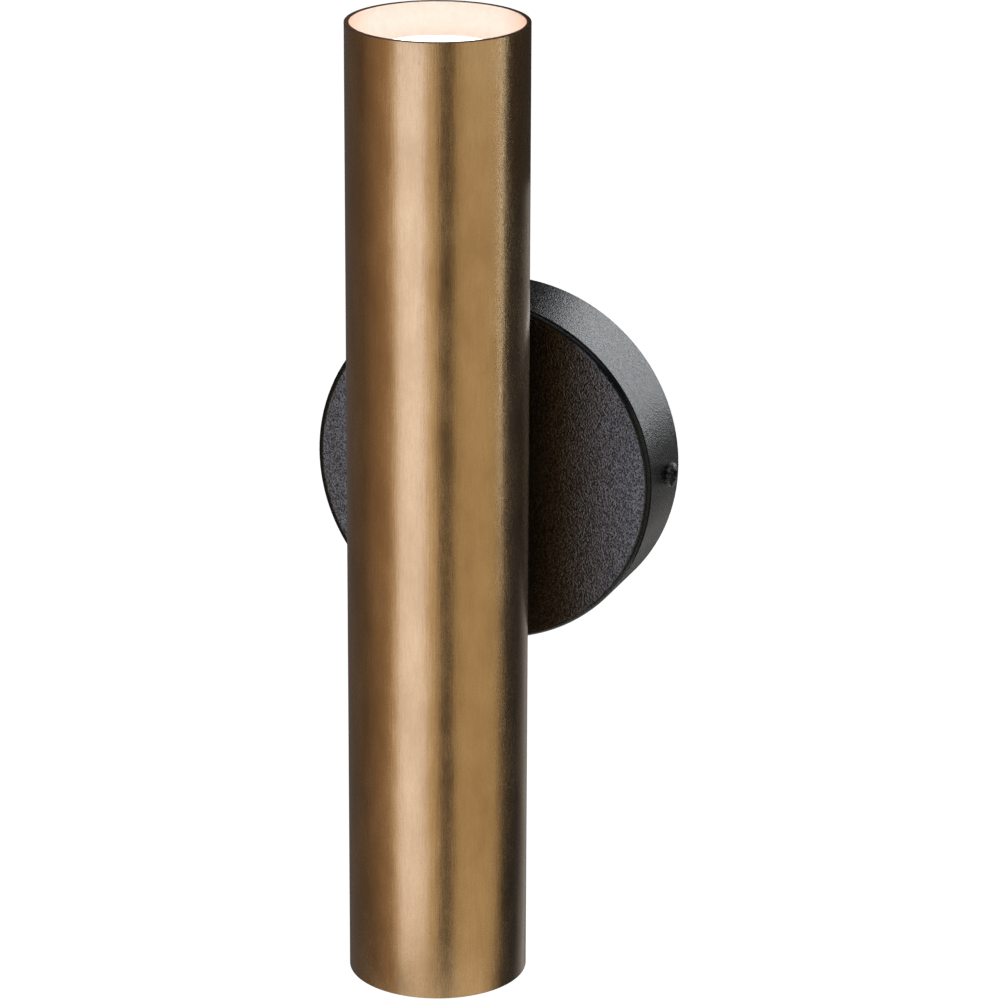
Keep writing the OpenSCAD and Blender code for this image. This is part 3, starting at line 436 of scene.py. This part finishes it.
def make_finishes():
    """Every finish, by the name of its material slot."""
    return {
        "aged_brass": aged_brass(),
        "cut_brass": cut_brass(),
        "inner_white": inner_white(),
        "black_paint": black_paint(),
        "black_screw": black_screw(),
        "zinc_steel": zinc_steel(),
        "small_brass": small_brass(),
        "natural_nylon": moulded("natural_nylon", (0.74, 0.73, 0.67), (0.84, 0.83, 0.78), 0.42,
                                 translucent=0.2),
        "black_rubber": moulded("black_rubber", (0.018, 0.018, 0.018), (0.035, 0.035, 0.035), 0.6),
        "white_plastic": moulded("white_plastic", (0.80, 0.80, 0.77), (0.87, 0.87, 0.85), 0.38),
        "ceramic": moulded("ceramic", (0.76, 0.74, 0.69), (0.86, 0.85, 0.80), 0.55, 0.10 * MM, 420),
        "lamp_metal": lamp_cover(),
        "board_white": moulded("board_white", (0.80, 0.80, 0.77), (0.87, 0.87, 0.84), 0.4),
        "lamp_glow": lamp_glow(),
        "live_insulation": insulation("live_insulation", (0.13, 0.05, 0.02), (0.19, 0.08, 0.035)),
        "neutral_insulation": insulation("neutral_insulation", (0.015, 0.07, 0.29), (0.03, 0.11, 0.40)),
        "earth_insulation": earth_insulation(),
    }


def dress_nodes(finishes):
    """Gives every CAD node the finish of its material slot."""
    for subpart in frame["record"]["subparts"]:
        node = frame["nodes"][subpart["node"]]
        node.data.materials.clear()
        node.data.materials.append(finishes[subpart["material_slot"]])


# Mesh helpers


def to_piece(shape, name, finishes, sharp_angle=SHARP_ANGLE):
    """An object made of that mesh, smooth but for its sharp edges."""
    bmesh.ops.recalc_face_normals(shape, faces=shape.faces)
    for face in shape.faces:
        face.smooth = True
    mesh = bpy.data.meshes.new(name)
    shape.to_mesh(mesh)
    shape.free()
    mesh.set_sharp_from_angle(angle=sharp_angle)
    for finish in finishes:
        mesh.materials.append(finish)
    piece = bpy.data.objects.new(name, mesh)
    bpy.context.scene.collection.objects.link(piece)
    return piece


def on_circle(radius, angle, height):
    """A point of a circle about Z."""
    return radius * math.cos(angle), radius * math.sin(angle), height


def ring(shape, radius, height, sides):
    """The corners of a ring about Z, or the one point of a ring that has no radius."""
    if radius == 0:
        return [shape.verts.new((0, 0, height))]
    angles = [2 * math.pi * k / sides for k in range(sides)]
    return [shape.verts.new(on_circle(radius, angle, height)) for angle in angles]


def lathe(shape, outline, sides, closed, finish_of=None):
    """Turns an outline of (radius, height) about Z. finish_of gives each stretch's material number."""
    rings = [ring(shape, radius, height, sides) for radius, height in outline]
    for i in range(len(rings) if closed else len(rings) - 1):
        low, high = rings[i], rings[(i + 1) % len(rings)]
        for k in range(sides):
            j = (k + 1) % sides
            corners = [low[k % len(low)], low[j % len(low)], high[j % len(high)], high[k % len(high)]]
            face = shape.faces.new(list(dict.fromkeys(corners)))
            if finish_of:
                face.material_index = finish_of[i]


def arc(centre, radius, start, end, steps):
    """Points of a round stretch of an outline, from one angle to another, in degrees."""
    angles = [math.radians(start + (end - start) * k / steps) for k in range(steps + 1)]
    x, y = centre
    return [(x + radius * math.cos(angle), y + radius * math.sin(angle)) for angle in angles]


def cut(piece, cutter):
    """Cuts one mesh out of another and removes the cutter."""
    modifier = piece.modifiers.new("cut", "BOOLEAN")
    modifier.object, modifier.operation, modifier.solver = cutter, "DIFFERENCE", "EXACT"
    bpy.context.view_layer.update()
    whole = bpy.data.meshes.new_from_object(piece.evaluated_get(bpy.context.evaluated_depsgraph_get()))
    piece.modifiers.clear()
    old, piece.data = piece.data, whole
    whole.name = old.name
    bpy.data.meshes.remove(old)
    bpy.data.objects.remove(cutter)


# Lamp tube


def tube_wall(hole_r):
    """The outline of the tube's wall, and for each stretch of it 0 outside, 1 at a sawn end or 2 inside."""
    inner_r, edge, end = TUBE_R - TUBE_WALL, TUBE_EDGE, TUBE_HALF - TUBE_EDGE
    upper_rows = [hole_r, 2 * hole_r, *TUBE_ROW_HEIGHTS, end]
    rows = [-z for z in reversed(upper_rows)] + [0] + upper_rows
    outline = [(TUBE_R, z) for z in rows]
    outline += arc((TUBE_R - edge, end), edge, 0, 90, EDGE_STEPS)[1:]
    outline += arc((inner_r + edge, end), edge, 90, 180, EDGE_STEPS)
    outline += [(inner_r, z) for z in reversed(rows)][1:]
    outline += arc((inner_r + edge, -end), edge, 180, 270, EDGE_STEPS)[1:]
    outline += arc((TUBE_R - edge, -end), edge, 270, 360, EDGE_STEPS)[:-1]
    wall, sawn = len(rows) - 1, 2 * EDGE_STEPS + 1
    return outline, [0] * wall + [1] * sawn + [2] * wall + [1] * sawn


def make_tube(finishes):
    """The tube with broken edges at its sawn ends, white inside, and a hole for the nipple."""
    hole_r = NIPPLE_R + NIPPLE_HOLE_GAP
    outline, finish_of = tube_wall(hole_r)
    shape = bmesh.new()
    lathe(shape, outline, TUBE_SIDES, closed=True, finish_of=finish_of)
    names = ("aged_brass", "cut_brass", "inner_white")
    tube = to_piece(shape, "tube_brushed", [finishes[name] for name in names])
    tube.location = (0, TUBE_AXIS_Y, 0)
    shape = bmesh.new()
    bmesh.ops.create_cone(shape, cap_ends=True, segments=DRILL_SIDES, radius1=hole_r, radius2=hole_r,
                          depth=TUBE_R)
    drill = to_piece(shape, "drill", [finishes["cut_brass"]])
    back_wall = Matrix.Translation((0, TUBE_AXIS_Y + TUBE_R, 0))
    drill.matrix_world = back_wall @ Matrix.Rotation(math.pi / 2, 4, "X")
    cut(tube, drill)
    tube.data.set_sharp_from_angle(angle=SHARP_ANGLE)
    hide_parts("lamp_tube")
    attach(tube, "tube")


# Side screws


def pan_head(head_r, head_h):
    """The outline of a screw's head: a flat seat, a broken edge, an upright wall and a dome."""
    dome_h = head_h * SCREW_DOME_SHARE
    dome_r = (head_r ** 2 + dome_h ** 2) / (2 * dome_h)
    centre_h, wall_h = head_h - dome_r, head_h - dome_h
    start = math.degrees(math.atan2(wall_h - centre_h, head_r))
    outline = [(0, 0), (head_r - SCREW_HEAD_EDGE, 0), (head_r, SCREW_HEAD_EDGE), (head_r, wall_h)]
    return outline + arc((0, centre_h), dome_r, start, 90, DOME_STEPS)[1:-1] + [(0, head_h)]


def blade(head_r, head_h, turn):
    """A tapered blade that cuts one of the two grooves of a cross recess."""
    reach, width = 2 * RECESS_REACH_SHARE * head_r, 2 * RECESS_WIDTH_SHARE * head_r
    depth = RECESS_DEPTH_SHARE * head_h
    shape = bmesh.new()
    for vert in bmesh.ops.create_cube(shape, size=1)["verts"]:
        x, y, z = vert.co
        if z < 0:
            vert.co = Vector((x * reach * BLADE_TIP_REACH, y * width * BLADE_TIP_WIDTH, head_h - depth))
        else:
            vert.co = Vector((x * reach, y * width, head_h + depth * BLADE_RISE))
    bmesh.ops.rotate(shape, verts=shape.verts, matrix=Matrix.Rotation(turn, 3, "Z"))
    return to_piece(shape, "blade", [])


def thread(shape, low, high):
    """A screw's thread about Z: a cylinder whose surface rises and falls along one helix."""
    steps = int((high - low) / SCREW_PITCH * ROWS_PER_PITCH)
    rings = []
    for i in range(steps + 1):
        height = low + (high - low) * i / steps
        point_taper = min(1, (height - low) / SCREW_PITCH)
        corners = []
        for k in range(THREAD_SIDES):
            turn = (height / SCREW_PITCH - k / THREAD_SIDES) % 1
            radius = SCREW_THREAD_R - SCREW_THREAD_DEPTH * (1 - point_taper * (1 - abs(2 * turn - 1)))
            angle = 2 * math.pi * k / THREAD_SIDES
            corners.append(shape.verts.new(on_circle(radius, angle, height)))
        rings.append(corners)
    for low_ring, high_ring in zip(rings, rings[1:]):
        for k in range(THREAD_SIDES):
            j = (k + 1) % THREAD_SIDES
            shape.faces.new([low_ring[k], low_ring[j], high_ring[j], high_ring[k]])
    shape.faces.new(rings[0])
    shape.faces.new(rings[-1])


def make_side_screw(side, sign, finishes):
    """A pan-head screw along X, its head on the sign's side, with a real thread and a cross recess."""
    node = f"{side}_side_screw"
    low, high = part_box(node)
    washer_low, washer_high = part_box(f"{side}_side_washer")
    seat_x = washer_high.x if sign > 0 else washer_low.x
    top_x, tip_x = (high.x, low.x) if sign > 0 else (low.x, high.x)
    head_r, head_h = (high.z - low.z) / 2, abs(top_x - seat_x)
    shape = bmesh.new()
    lathe(shape, pan_head(head_r, head_h), HEAD_SIDES, closed=False)
    screw = to_piece(shape, f"{side}_screw_cross", [finishes["black_screw"]])
    for turn in (0, math.pi / 2):
        cut(screw, blade(head_r, head_h, turn))
    shape = bmesh.new()
    shape.from_mesh(screw.data)
    thread(shape, -abs(tip_x - seat_x), 0)
    shape.to_mesh(screw.data)
    shape.free()
    screw.data.set_sharp_from_angle(angle=SHARP_ANGLE)
    for polygon in screw.data.polygons:
        polygon.use_smooth = True
    place = Matrix.Translation((seat_x, (low.y + high.y) / 2, (low.z + high.z) / 2))
    outward, cross_turn = Matrix.Rotation(sign * math.pi / 2, 4, "Y"), Matrix.Rotation(math.pi / 4, 4, "Z")
    screw.matrix_world = place @ outward @ cross_turn
    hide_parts(node)
    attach(screw, f"{side}_screw")


# Leads. A name that ends in OUT is a distance from the wall.

BLOCK_LOW, BLOCK_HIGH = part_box("terminal_block")
CLAMP_LOW, CLAMP_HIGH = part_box("terminal_clamps")
CLAMP_OUT = -(CLAMP_LOW.y + CLAMP_HIGH.y) / 2
CLAMP_R = (CLAMP_HIGH.y - CLAMP_LOW.y) / 2
POLE_PITCH = 9 * MM
GROMMET_OUT = -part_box("cable_grommet")[0].y
NIPPLE_IN_OUT, NIPPLE_TIP_OUT = -NIPPLE_HIGH.y, -NIPPLE_LOW.y
CANOPY_IN_OUT = -CANOPY_LOW.y - CANOPY_SHEET
SPLIT_OUT = (NIPPLE_IN_OUT + CANOPY_IN_OUT) / 2
BUSH_END_OUT = -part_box("nipple_bushes")[0].y
BEND_OUT = BUSH_END_OUT + LEAD_D
RING_R = (LEAD_D + LEAD_GAP) / (2 * math.sin(math.pi / LEAD_COUNT))
RING_START = 18
PAIR_HALF = (LEAD_D + LEAD_GAP) / 2
MOUTH = 1 * MM
TAG_BARREL = 4 * MM
TAG_BARREL_LIFT = 1.5 * MM
PIN_HALF = 5 * MM
CARRIER_SHEET = 1.5 * MM
CONTACT_GRIP = 3 * MM
SHELF_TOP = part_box("lamp_carrier")[1].z
SHELF_LOW = SHELF_TOP - CARRIER_SHEET
CONTACT_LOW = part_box("holder_contacts")[1].z - CONTACT_GRIP

# The loops beside the terminal block, in lead widths: the first one, the step from pole to pole, the step
# within a pair, the height of a lane, and how far each lead of a pair lies before or behind its middle
FEED_LOOP, FEED_POLE_STEP, FEED_PAIR_STEP = 2.5, 2.6, 0.6
FEED_LANE = 1.3
FEED_PAIR_LIFT = 0.3

# A direction along which no lead starts, the sides that each yellow stripe covers, and the stretch
# of lead beside a clamp that stays with the bracket
START_SIDE = (0.64, 0.94, 0.42)
STRIPE_SIDES = 2
CLAMP_HOLD = 2 * MM


def ring_place(place):
    """Where a lead stands in the ring of leads that fills the nipple, as (right, up)."""
    angle = math.radians(RING_START + FULL_TURN * place / LEAD_COUNT)
    return RING_R * math.cos(angle), RING_R * math.sin(angle)


def pole_up(pole):
    """The height of a clamp's bore."""
    return CLAMP_LOW.z + CLAMP_R + pole * POLE_PITCH


def feed_route(pole, place, lane, back, pair):
    """From a clamp round to the right, down and into the nipple, as (right, up, out from the wall).

    lane is how many lanes up the lead crosses, and back how many lead widths nearer to the wall.
    pair is -1 or 1 for two leads in one clamp and 0 for a lead alone.
    """
    clamp_up, clamp_out = pole_up(pole), CLAMP_OUT + pair * PAIR_HALF
    mouth = BLOCK_HIGH.x - MOUTH
    loop = BLOCK_HIGH.x + (FEED_LOOP + pole * FEED_POLE_STEP + pair * FEED_PAIR_STEP) * LEAD_D
    up = lane * FEED_LANE * LEAD_D
    out = (NIPPLE_IN_OUT + GROMMET_OUT) / 2 + (pair * FEED_PAIR_LIFT - back) * LEAD_D
    ring_x, ring_up = ring_place(place)
    return [
        (mouth, clamp_up, clamp_out),
        (mouth + 2 * MOUTH, clamp_up, clamp_out),
        (loop, clamp_up, clamp_out),
        (loop, (clamp_up + up) / 2, clamp_out),
        (loop, up, out),
        (ring_x + 3 * LEAD_D, up, out),
        (ring_x, ring_up + (up - ring_up) * 0.3, out + LEAD_D),
        (ring_x, ring_up, NIPPLE_IN_OUT - LEAD_D),
        (ring_x, ring_up, NIPPLE_IN_OUT),
        (ring_x, ring_up, SPLIT_OUT),
    ]


def through_nipple(place):
    """The stretch of a lamp lead or of the carrier's earth lead that lies in the nipple and its bush."""
    x, up = ring_place(place)
    return [(x, up, out) for out in (SPLIT_OUT, (SPLIT_OUT + BUSH_END_OUT) / 2, BUSH_END_OUT, BEND_OUT)]


def lamp_route(place, way, side):
    """From the nipple to a contact of the upper lampholder (way is 1) or of the lower one (way is -1)."""
    ring_x, ring_up = ring_place(place)
    x = side * PIN_HALF
    out = -TUBE_AXIS_Y
    return through_nipple(place) + [
        (ring_x + side * LEAD_D, ring_up + way * 2 * LEAD_D, BEND_OUT + 2 * LEAD_D),
        (x, way * 7 * LEAD_D, out - LEAD_D / 2),
        (x, way * SHELF_LOW / 2, out),
        (x, way * (SHELF_LOW - 4 * LEAD_D), out),
        (x, way * SHELF_TOP, out),
        (x, way * CONTACT_LOW, out),
    ]


def bracket_earth_route():
    """From the first clamp to the ring tag on the strap."""
    x = BLOCK_LOW.x + MOUTH
    tag_low, tag_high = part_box("earth_ring_tag")
    tag_x = (tag_low.x + tag_high.x) / 2
    barrel_up, barrel_out = tag_high.z - TAG_BARREL / 2, -tag_high.y + TAG_BARREL_LIFT
    return [
        (x, pole_up(0), CLAMP_OUT),
        (x - 2 * MOUTH, pole_up(0), CLAMP_OUT),
        ((x + tag_x) / 2 - MOUTH, pole_up(0), CLAMP_OUT),
        (tag_x, (pole_up(0) + barrel_up + TAG_BARREL) / 2, (CLAMP_OUT + barrel_out) / 2),
        (tag_x, barrel_up + TAG_BARREL, barrel_out),
        (tag_x, barrel_up, barrel_out),
    ]


def carrier_earth_route(place):
    """From the nipple to the ring tag on the lamp carrier."""
    x, up = ring_place(place)
    tag_low, tag_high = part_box("carrier_earth_tag")
    barrel_up, barrel_out = tag_low.z + TAG_BARREL / 2, -tag_high.y + TAG_BARREL_LIFT
    return through_nipple(place) + [
        (x, up + 2 * LEAD_D, BEND_OUT + LEAD_D),
        (x, (up + barrel_up) / 2 + LEAD_D, (BEND_OUT + barrel_out) / 2 + LEAD_D),
        (0, barrel_up - TAG_BARREL, barrel_out),
        (0, barrel_up, barrel_out),
    ]


def near_pull(gap):
    """Six times the share that a cubic B-spline takes of a corner that lies less than one step away."""
    return 3 * gap ** 3 - 6 * gap ** 2 + 4


def spline(route):
    """Points of the B-spline that a route's corners pull on, from its first corner to its last."""
    corners = [Vector((right, -out, up)) for right, up, out in route]
    corners = [2 * corners[0] - corners[1], *corners, 2 * corners[-1] - corners[-2]]
    points = []
    for before, start, end, after in zip(corners, corners[1:], corners[2:], corners[3:]):
        for k in range(LEAD_STEPS):
            gone = k / LEAD_STEPS
            left = 1 - gone
            points.append((left ** 3 * before + near_pull(gone) * start
                           + near_pull(left) * end + gone ** 3 * after) / 6)
    points.append(corners[-2])
    return points


def sweep(shape, points, stripe):
    """A round lead along points. stripe is the colour layer that marks its two stripes, or None."""
    side = Vector(START_SIDE).normalized()
    angles = [2 * math.pi * k / LEAD_SIDES for k in range(LEAD_SIDES)]
    rings = []
    for i, point in enumerate(points):
        heading = (points[min(i + 1, len(points) - 1)] - points[max(i - 1, 0)]).normalized()
        side = (side - side.dot(heading) * heading).normalized()
        other = heading.cross(side)
        spokes = [math.cos(angle) * side + math.sin(angle) * other for angle in angles]
        rings.append([shape.verts.new(point + LEAD_D / 2 * spoke) for spoke in spokes])
    for first, second in zip(rings, rings[1:]):
        for k in range(LEAD_SIDES):
            j = (k + 1) % LEAD_SIDES
            face = shape.faces.new([first[k], first[j], second[j], second[k]])
            if stripe:
                yellow = k % (LEAD_SIDES // 2) < STRIPE_SIDES
                for loop in face.loops:
                    loop[stripe] = (1, 1, 1, 1) if yellow else (0, 0, 0, 1)
    shape.faces.new(rings[0])
    shape.faces.new(rings[-1])


def make_leads(name, node, slot, routes, finishes, body=None, blend=None):
    """The leads of one CAD node. They ride one body, or, when blend is given, stay apart from every body
    with their transform baked in; the bodies and stretch in blend are not used.
    """
    shape = bmesh.new()
    stripe = shape.loops.layers.color.new("stripe") if slot == "earth_insulation" else None
    for route in routes:
        sweep(shape, spline(route), stripe)
    piece = to_piece(shape, name, [finishes[slot]], sharp_angle=LEAD_SHARP_ANGLE)
    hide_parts(node)
    if blend:
        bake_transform(piece)
    else:
        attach(piece, body)


def make_wiring(finishes):
    """All leads."""
    feed = (("bracket", "canopy"), (0, -CLAMP_OUT - CLAMP_HOLD, 0), (0, -NIPPLE_IN_OUT, 0))
    lamp = (("canopy", "tube"), (0, -SPLIT_OUT, 0), (0, -NIPPLE_TIP_OUT, 0))
    make_leads("live_feed_wires", "live_feed_leads", "live_insulation",
               [feed_route(2, 0, -1.2, -0.4, -1), feed_route(2, 4, -2.2, -0.4, 1)], finishes, blend=feed)
    make_leads("neutral_feed_wires", "neutral_feed_leads", "neutral_insulation",
               [feed_route(1, 2, 0.9, 1.1, -1), feed_route(1, 3, -0.3, 1.1, 1)], finishes, blend=feed)
    make_leads("earth_feed_wire", "earth_feed_lead", "earth_insulation",
               [feed_route(0, 1, 2.1, 0, 0)], finishes, blend=feed)
    make_leads("live_lamp_wires", "live_lamp_leads", "live_insulation",
               [lamp_route(0, 1, 1), lamp_route(4, -1, 1)], finishes, blend=lamp)
    make_leads("neutral_lamp_wires", "neutral_lamp_leads", "neutral_insulation",
               [lamp_route(2, 1, -1), lamp_route(3, -1, -1)], finishes, blend=lamp)
    make_leads("earth_lamp_wire", "earth_lamp_lead", "earth_insulation",
               [carrier_earth_route(1)], finishes, blend=lamp)
    make_leads("bracket_earth_wire", "bracket_earth_lead", "earth_insulation",
               [bracket_earth_route()], finishes, body="bracket")


# Studio. Places round the tube are in degrees to the right of the camera.

FLOOR_Z = -1.5
FLOOR_SIZE = 9
FLOOR_GLOW = 0.78
FILL = 0.3
STUDIO_R = 1.25
CARD_R = 1.35
KEY_CORE_R = 1.445
SIDE_CORE_R = 1.455
FLAG_R = 0.11
BACK_GAP = 0.03
CARD_STEP = 5

FOOT, HEAD = -1.35, 1.3
KEY_FOOT, KEY_HEAD = -1.1, 0.35
SIDE_FOOT, SIDE_HEAD = -1.2, 0.45
SIDE_CORE_FOOT = -0.45
STRIP_FOOT, STRIP_HEAD = -0.42, 0.6
PANEL_FOOT, PANEL_HEAD = -0.10, 1.0
FLAG_FOOT, FLAG_HEAD = 0.085, 0.5

SHOULDER_LEFT = -98
KEY_LEFT, KEY_RIGHT = -57, 1.5
KEY_CORE_LEFT, KEY_CORE_RIGHT = -50, -14
SIDE_LEFT, SIDE_RIGHT = 21, 80.5
SIDE_CORE_LEFT, SIDE_CORE_RIGHT = 32, 80
STRIP_LEFT, STRIP_RIGHT = 84, 86.5
DARK_LEFT = 94
PANEL_LEFT, PANEL_RIGHT = 126, 164
FLAG_LEFT, FLAG_RIGHT = 92, 170
BEHIND = 178


def make_card_glow():
    """Black card that gives off the glow painted on it."""
    nodes = Nodes("card_glow")
    painted = nodes.add("ShaderNodeVertexColor", layer_name="glow")
    nodes.put(colour=(0.01, 0.01, 0.01), roughness=0.9, specular=0.0, glow=painted.outputs["Color"],
              glow_strength=1.0)
    return nodes.material


CARD_GLOW = make_card_glow()


def around(degrees):
    """The level direction from the tube that lies that far to the right of the camera's."""
    angle = CAMERA_AZIMUTH + math.radians(degrees)
    return Vector((math.sin(angle), -math.cos(angle), 0))


def card(name, left, right, low, high, glow, right_glow=None, foot=1.0, radius=CARD_R, flag=False):
    """A curved card that neither the camera nor diffuse light sees.

    Its glow changes evenly from its left edge to its right edge, and is foot times as strong at its foot.
    A flag casts shadows as well.
    """
    shape = bmesh.new()
    paint = shape.loops.layers.float_color.new("glow")
    steps = max(2, int((right - left) / CARD_STEP))
    columns = []
    for k in range(steps + 1):
        share = k / steps
        place = Vector((0, TUBE_AXIS_Y, 0)) + radius * around(left + (right - left) * share)
        colour = Vector(glow).lerp(Vector(right_glow or glow), share)
        columns.append([(shape.verts.new((place.x, place.y, height)), colour * lift)
                        for height, lift in ((low, foot), (high, 1.0))])
    for first, second in zip(columns, columns[1:]):
        corners = [first[0], second[0], second[1], first[1]]
        face = shape.faces.new([vert for vert, _ in corners])
        for loop, (_, colour) in zip(face.loops, corners):
            loop[paint] = (*colour, 1)
    piece = to_piece(shape, name, [CARD_GLOW])
    piece.visible_camera = piece.visible_diffuse = False
    piece.visible_shadow = flag


def softbox(name, left, right, low, high, radiance, colour, back_foot=FOOT):
    """An upright area light before a black card. A flat light's power is pi x its radiance x its area."""
    middle = around((left + right) / 2)
    half_angle = math.radians(right - left) / 2
    width, height = 2 * STUDIO_R * math.tan(half_angle), high - low
    data = bpy.data.lights.new(name, "AREA")
    data.shape, data.size, data.size_y = "RECTANGLE", width, height
    data.color = colour
    data.energy = radiance * math.pi * width * height
    light = bpy.data.objects.new(name, data)
    light.location = Vector((0, TUBE_AXIS_Y, (low + high) / 2)) + STUDIO_R * middle
    light.rotation_euler = (-middle).to_track_quat("-Z", "Y").to_euler()
    light.visible_camera = False
    bpy.context.scene.collection.objects.link(light)
    reach = STUDIO_R / math.cos(half_angle) + BACK_GAP
    card(f"{name}_back", left, right, back_foot, HEAD, (0.0, 0.0, 0.0), radius=reach)


def seen(tree):
    """1 for the rays that show the backdrop: those of the camera, of reflections and through glass."""
    path = tree.nodes.new("ShaderNodeLightPath")
    value = path.outputs["Is Camera Ray"]
    for kind in ("Is Glossy Ray", "Is Transmission Ray"):
        larger = tree.nodes.new("ShaderNodeMath")
        larger.operation = "MAXIMUM"
        tree.links.new(value, larger.inputs[0])
        tree.links.new(path.outputs[kind], larger.inputs[1])
        value = larger.outputs[0]
    return value


def make_floor():
    """A pale floor, which glows for the rays that show the backdrop, so that it is seen as white."""
    nodes = Nodes("floor")
    nodes.put(colour=(0.86, 0.86, 0.86), roughness=0.85)
    glow = nodes.add("ShaderNodeEmission")
    glow.inputs["Strength"].default_value = FLOOR_GLOW
    both, switch = nodes.add("ShaderNodeAddShader"), nodes.add("ShaderNodeMixShader")
    nodes.link(nodes.shader.outputs[0], both.inputs[0])
    nodes.link(glow.outputs[0], both.inputs[1])
    nodes.link(seen(nodes.tree), switch.inputs[0])
    nodes.link(nodes.shader.outputs[0], switch.inputs[1])
    nodes.link(both.outputs[0], switch.inputs[2])
    nodes.link(switch.outputs[0], nodes.tree.nodes["Material Output"].inputs["Surface"])
    shape = bmesh.new()
    bmesh.ops.create_grid(shape, x_segments=4, y_segments=4, size=FLOOR_SIZE)
    floor = to_piece(shape, "floor", [nodes.material])
    floor.location.z = FLOOR_Z


def make_world():
    """An even white world, which lights the object at the level of the fill."""
    world = bpy.data.worlds.new("studio")
    bpy.context.scene.world = world
    world.use_nodes = True
    tree = world.node_tree
    background = tree.nodes["Background"]
    background.inputs["Color"].default_value = (1, 1, 1, 1)
    level = tree.nodes.new("ShaderNodeMapRange")
    level.inputs["To Min"].default_value = FILL
    level.inputs["To Max"].default_value = 1.0
    tree.links.new(seen(tree), level.inputs["Value"])
    tree.links.new(level.outputs["Result"], background.inputs["Strength"])


def make_studio():
    """The softboxes, and the cards that stand for the surroundings that the brass and the paint mirror."""
    bpy.context.scene.view_settings.view_transform = "Standard"
    make_world()
    make_floor()
    softbox("key_softbox", KEY_LEFT, KEY_RIGHT, KEY_FOOT, KEY_HEAD,
            radiance=0.90, colour=(1.0, 0.86, 0.62))
    card("key_core", KEY_CORE_LEFT, KEY_CORE_RIGHT, KEY_FOOT, KEY_HEAD, (0.77, 1.10, 1.98),
         foot=0.65, radius=KEY_CORE_R)
    softbox("side_softbox", SIDE_LEFT, SIDE_RIGHT, SIDE_FOOT, SIDE_HEAD,
            radiance=0.67, colour=(1.0, 0.86, 0.60))
    card("side_core", SIDE_CORE_LEFT, SIDE_CORE_RIGHT, SIDE_CORE_FOOT, SIDE_HEAD, (0.20, 0.25, 0.34),
         foot=0.0, radius=SIDE_CORE_R)
    softbox("edge_strip", STRIP_LEFT, STRIP_RIGHT, STRIP_FOOT, STRIP_HEAD,
            radiance=3.8, colour=(0.82, 0.95, 1.08), back_foot=STRIP_FOOT)
    softbox("back_panel", PANEL_LEFT, PANEL_RIGHT, PANEL_FOOT, PANEL_HEAD,
            radiance=2.12, colour=(0.95, 1.0, 1.06))
    card("left_card", BEHIND - FULL_TURN, SHOULDER_LEFT, FOOT, HEAD, (0.078, 0.075, 0.080),
         (0.14, 0.105, 0.080))
    card("left_shoulder", SHOULDER_LEFT, KEY_LEFT, FOOT, HEAD, (0.25, 0.185, 0.14), (0.66, 0.46, 0.29),
         foot=0.62)
    card("gap_card", KEY_RIGHT, SIDE_LEFT, FOOT, HEAD, (0.10, 0.09, 0.08))
    card("strip_card", SIDE_RIGHT, DARK_LEFT, FOOT, HEAD, (0.42, 0.35, 0.25), (0.03, 0.03, 0.03))
    card("right_card", DARK_LEFT, PANEL_LEFT, FOOT, HEAD, (0.030, 0.034, 0.042))
    card("low_back_card", PANEL_LEFT, PANEL_RIGHT, FOOT, PANEL_FOOT, (0.02, 0.022, 0.026),
         (0.27, 0.265, 0.26), foot=2.1)
    card("back_card", PANEL_RIGHT, BEHIND, FOOT, HEAD, (0.04, 0.04, 0.04))
    card("edge_flag", FLAG_LEFT, FLAG_RIGHT, FLAG_FOOT, FLAG_HEAD, (0.04, 0.035, 0.03),
         radius=FLAG_R, flag=True)


make_camera()
make_studio()
finishes = make_finishes()
dress_nodes(finishes)
make_tube(finishes)
make_side_screw("right", 1, finishes)
make_side_screw("left", -1, finishes)
make_wiring(finishes)
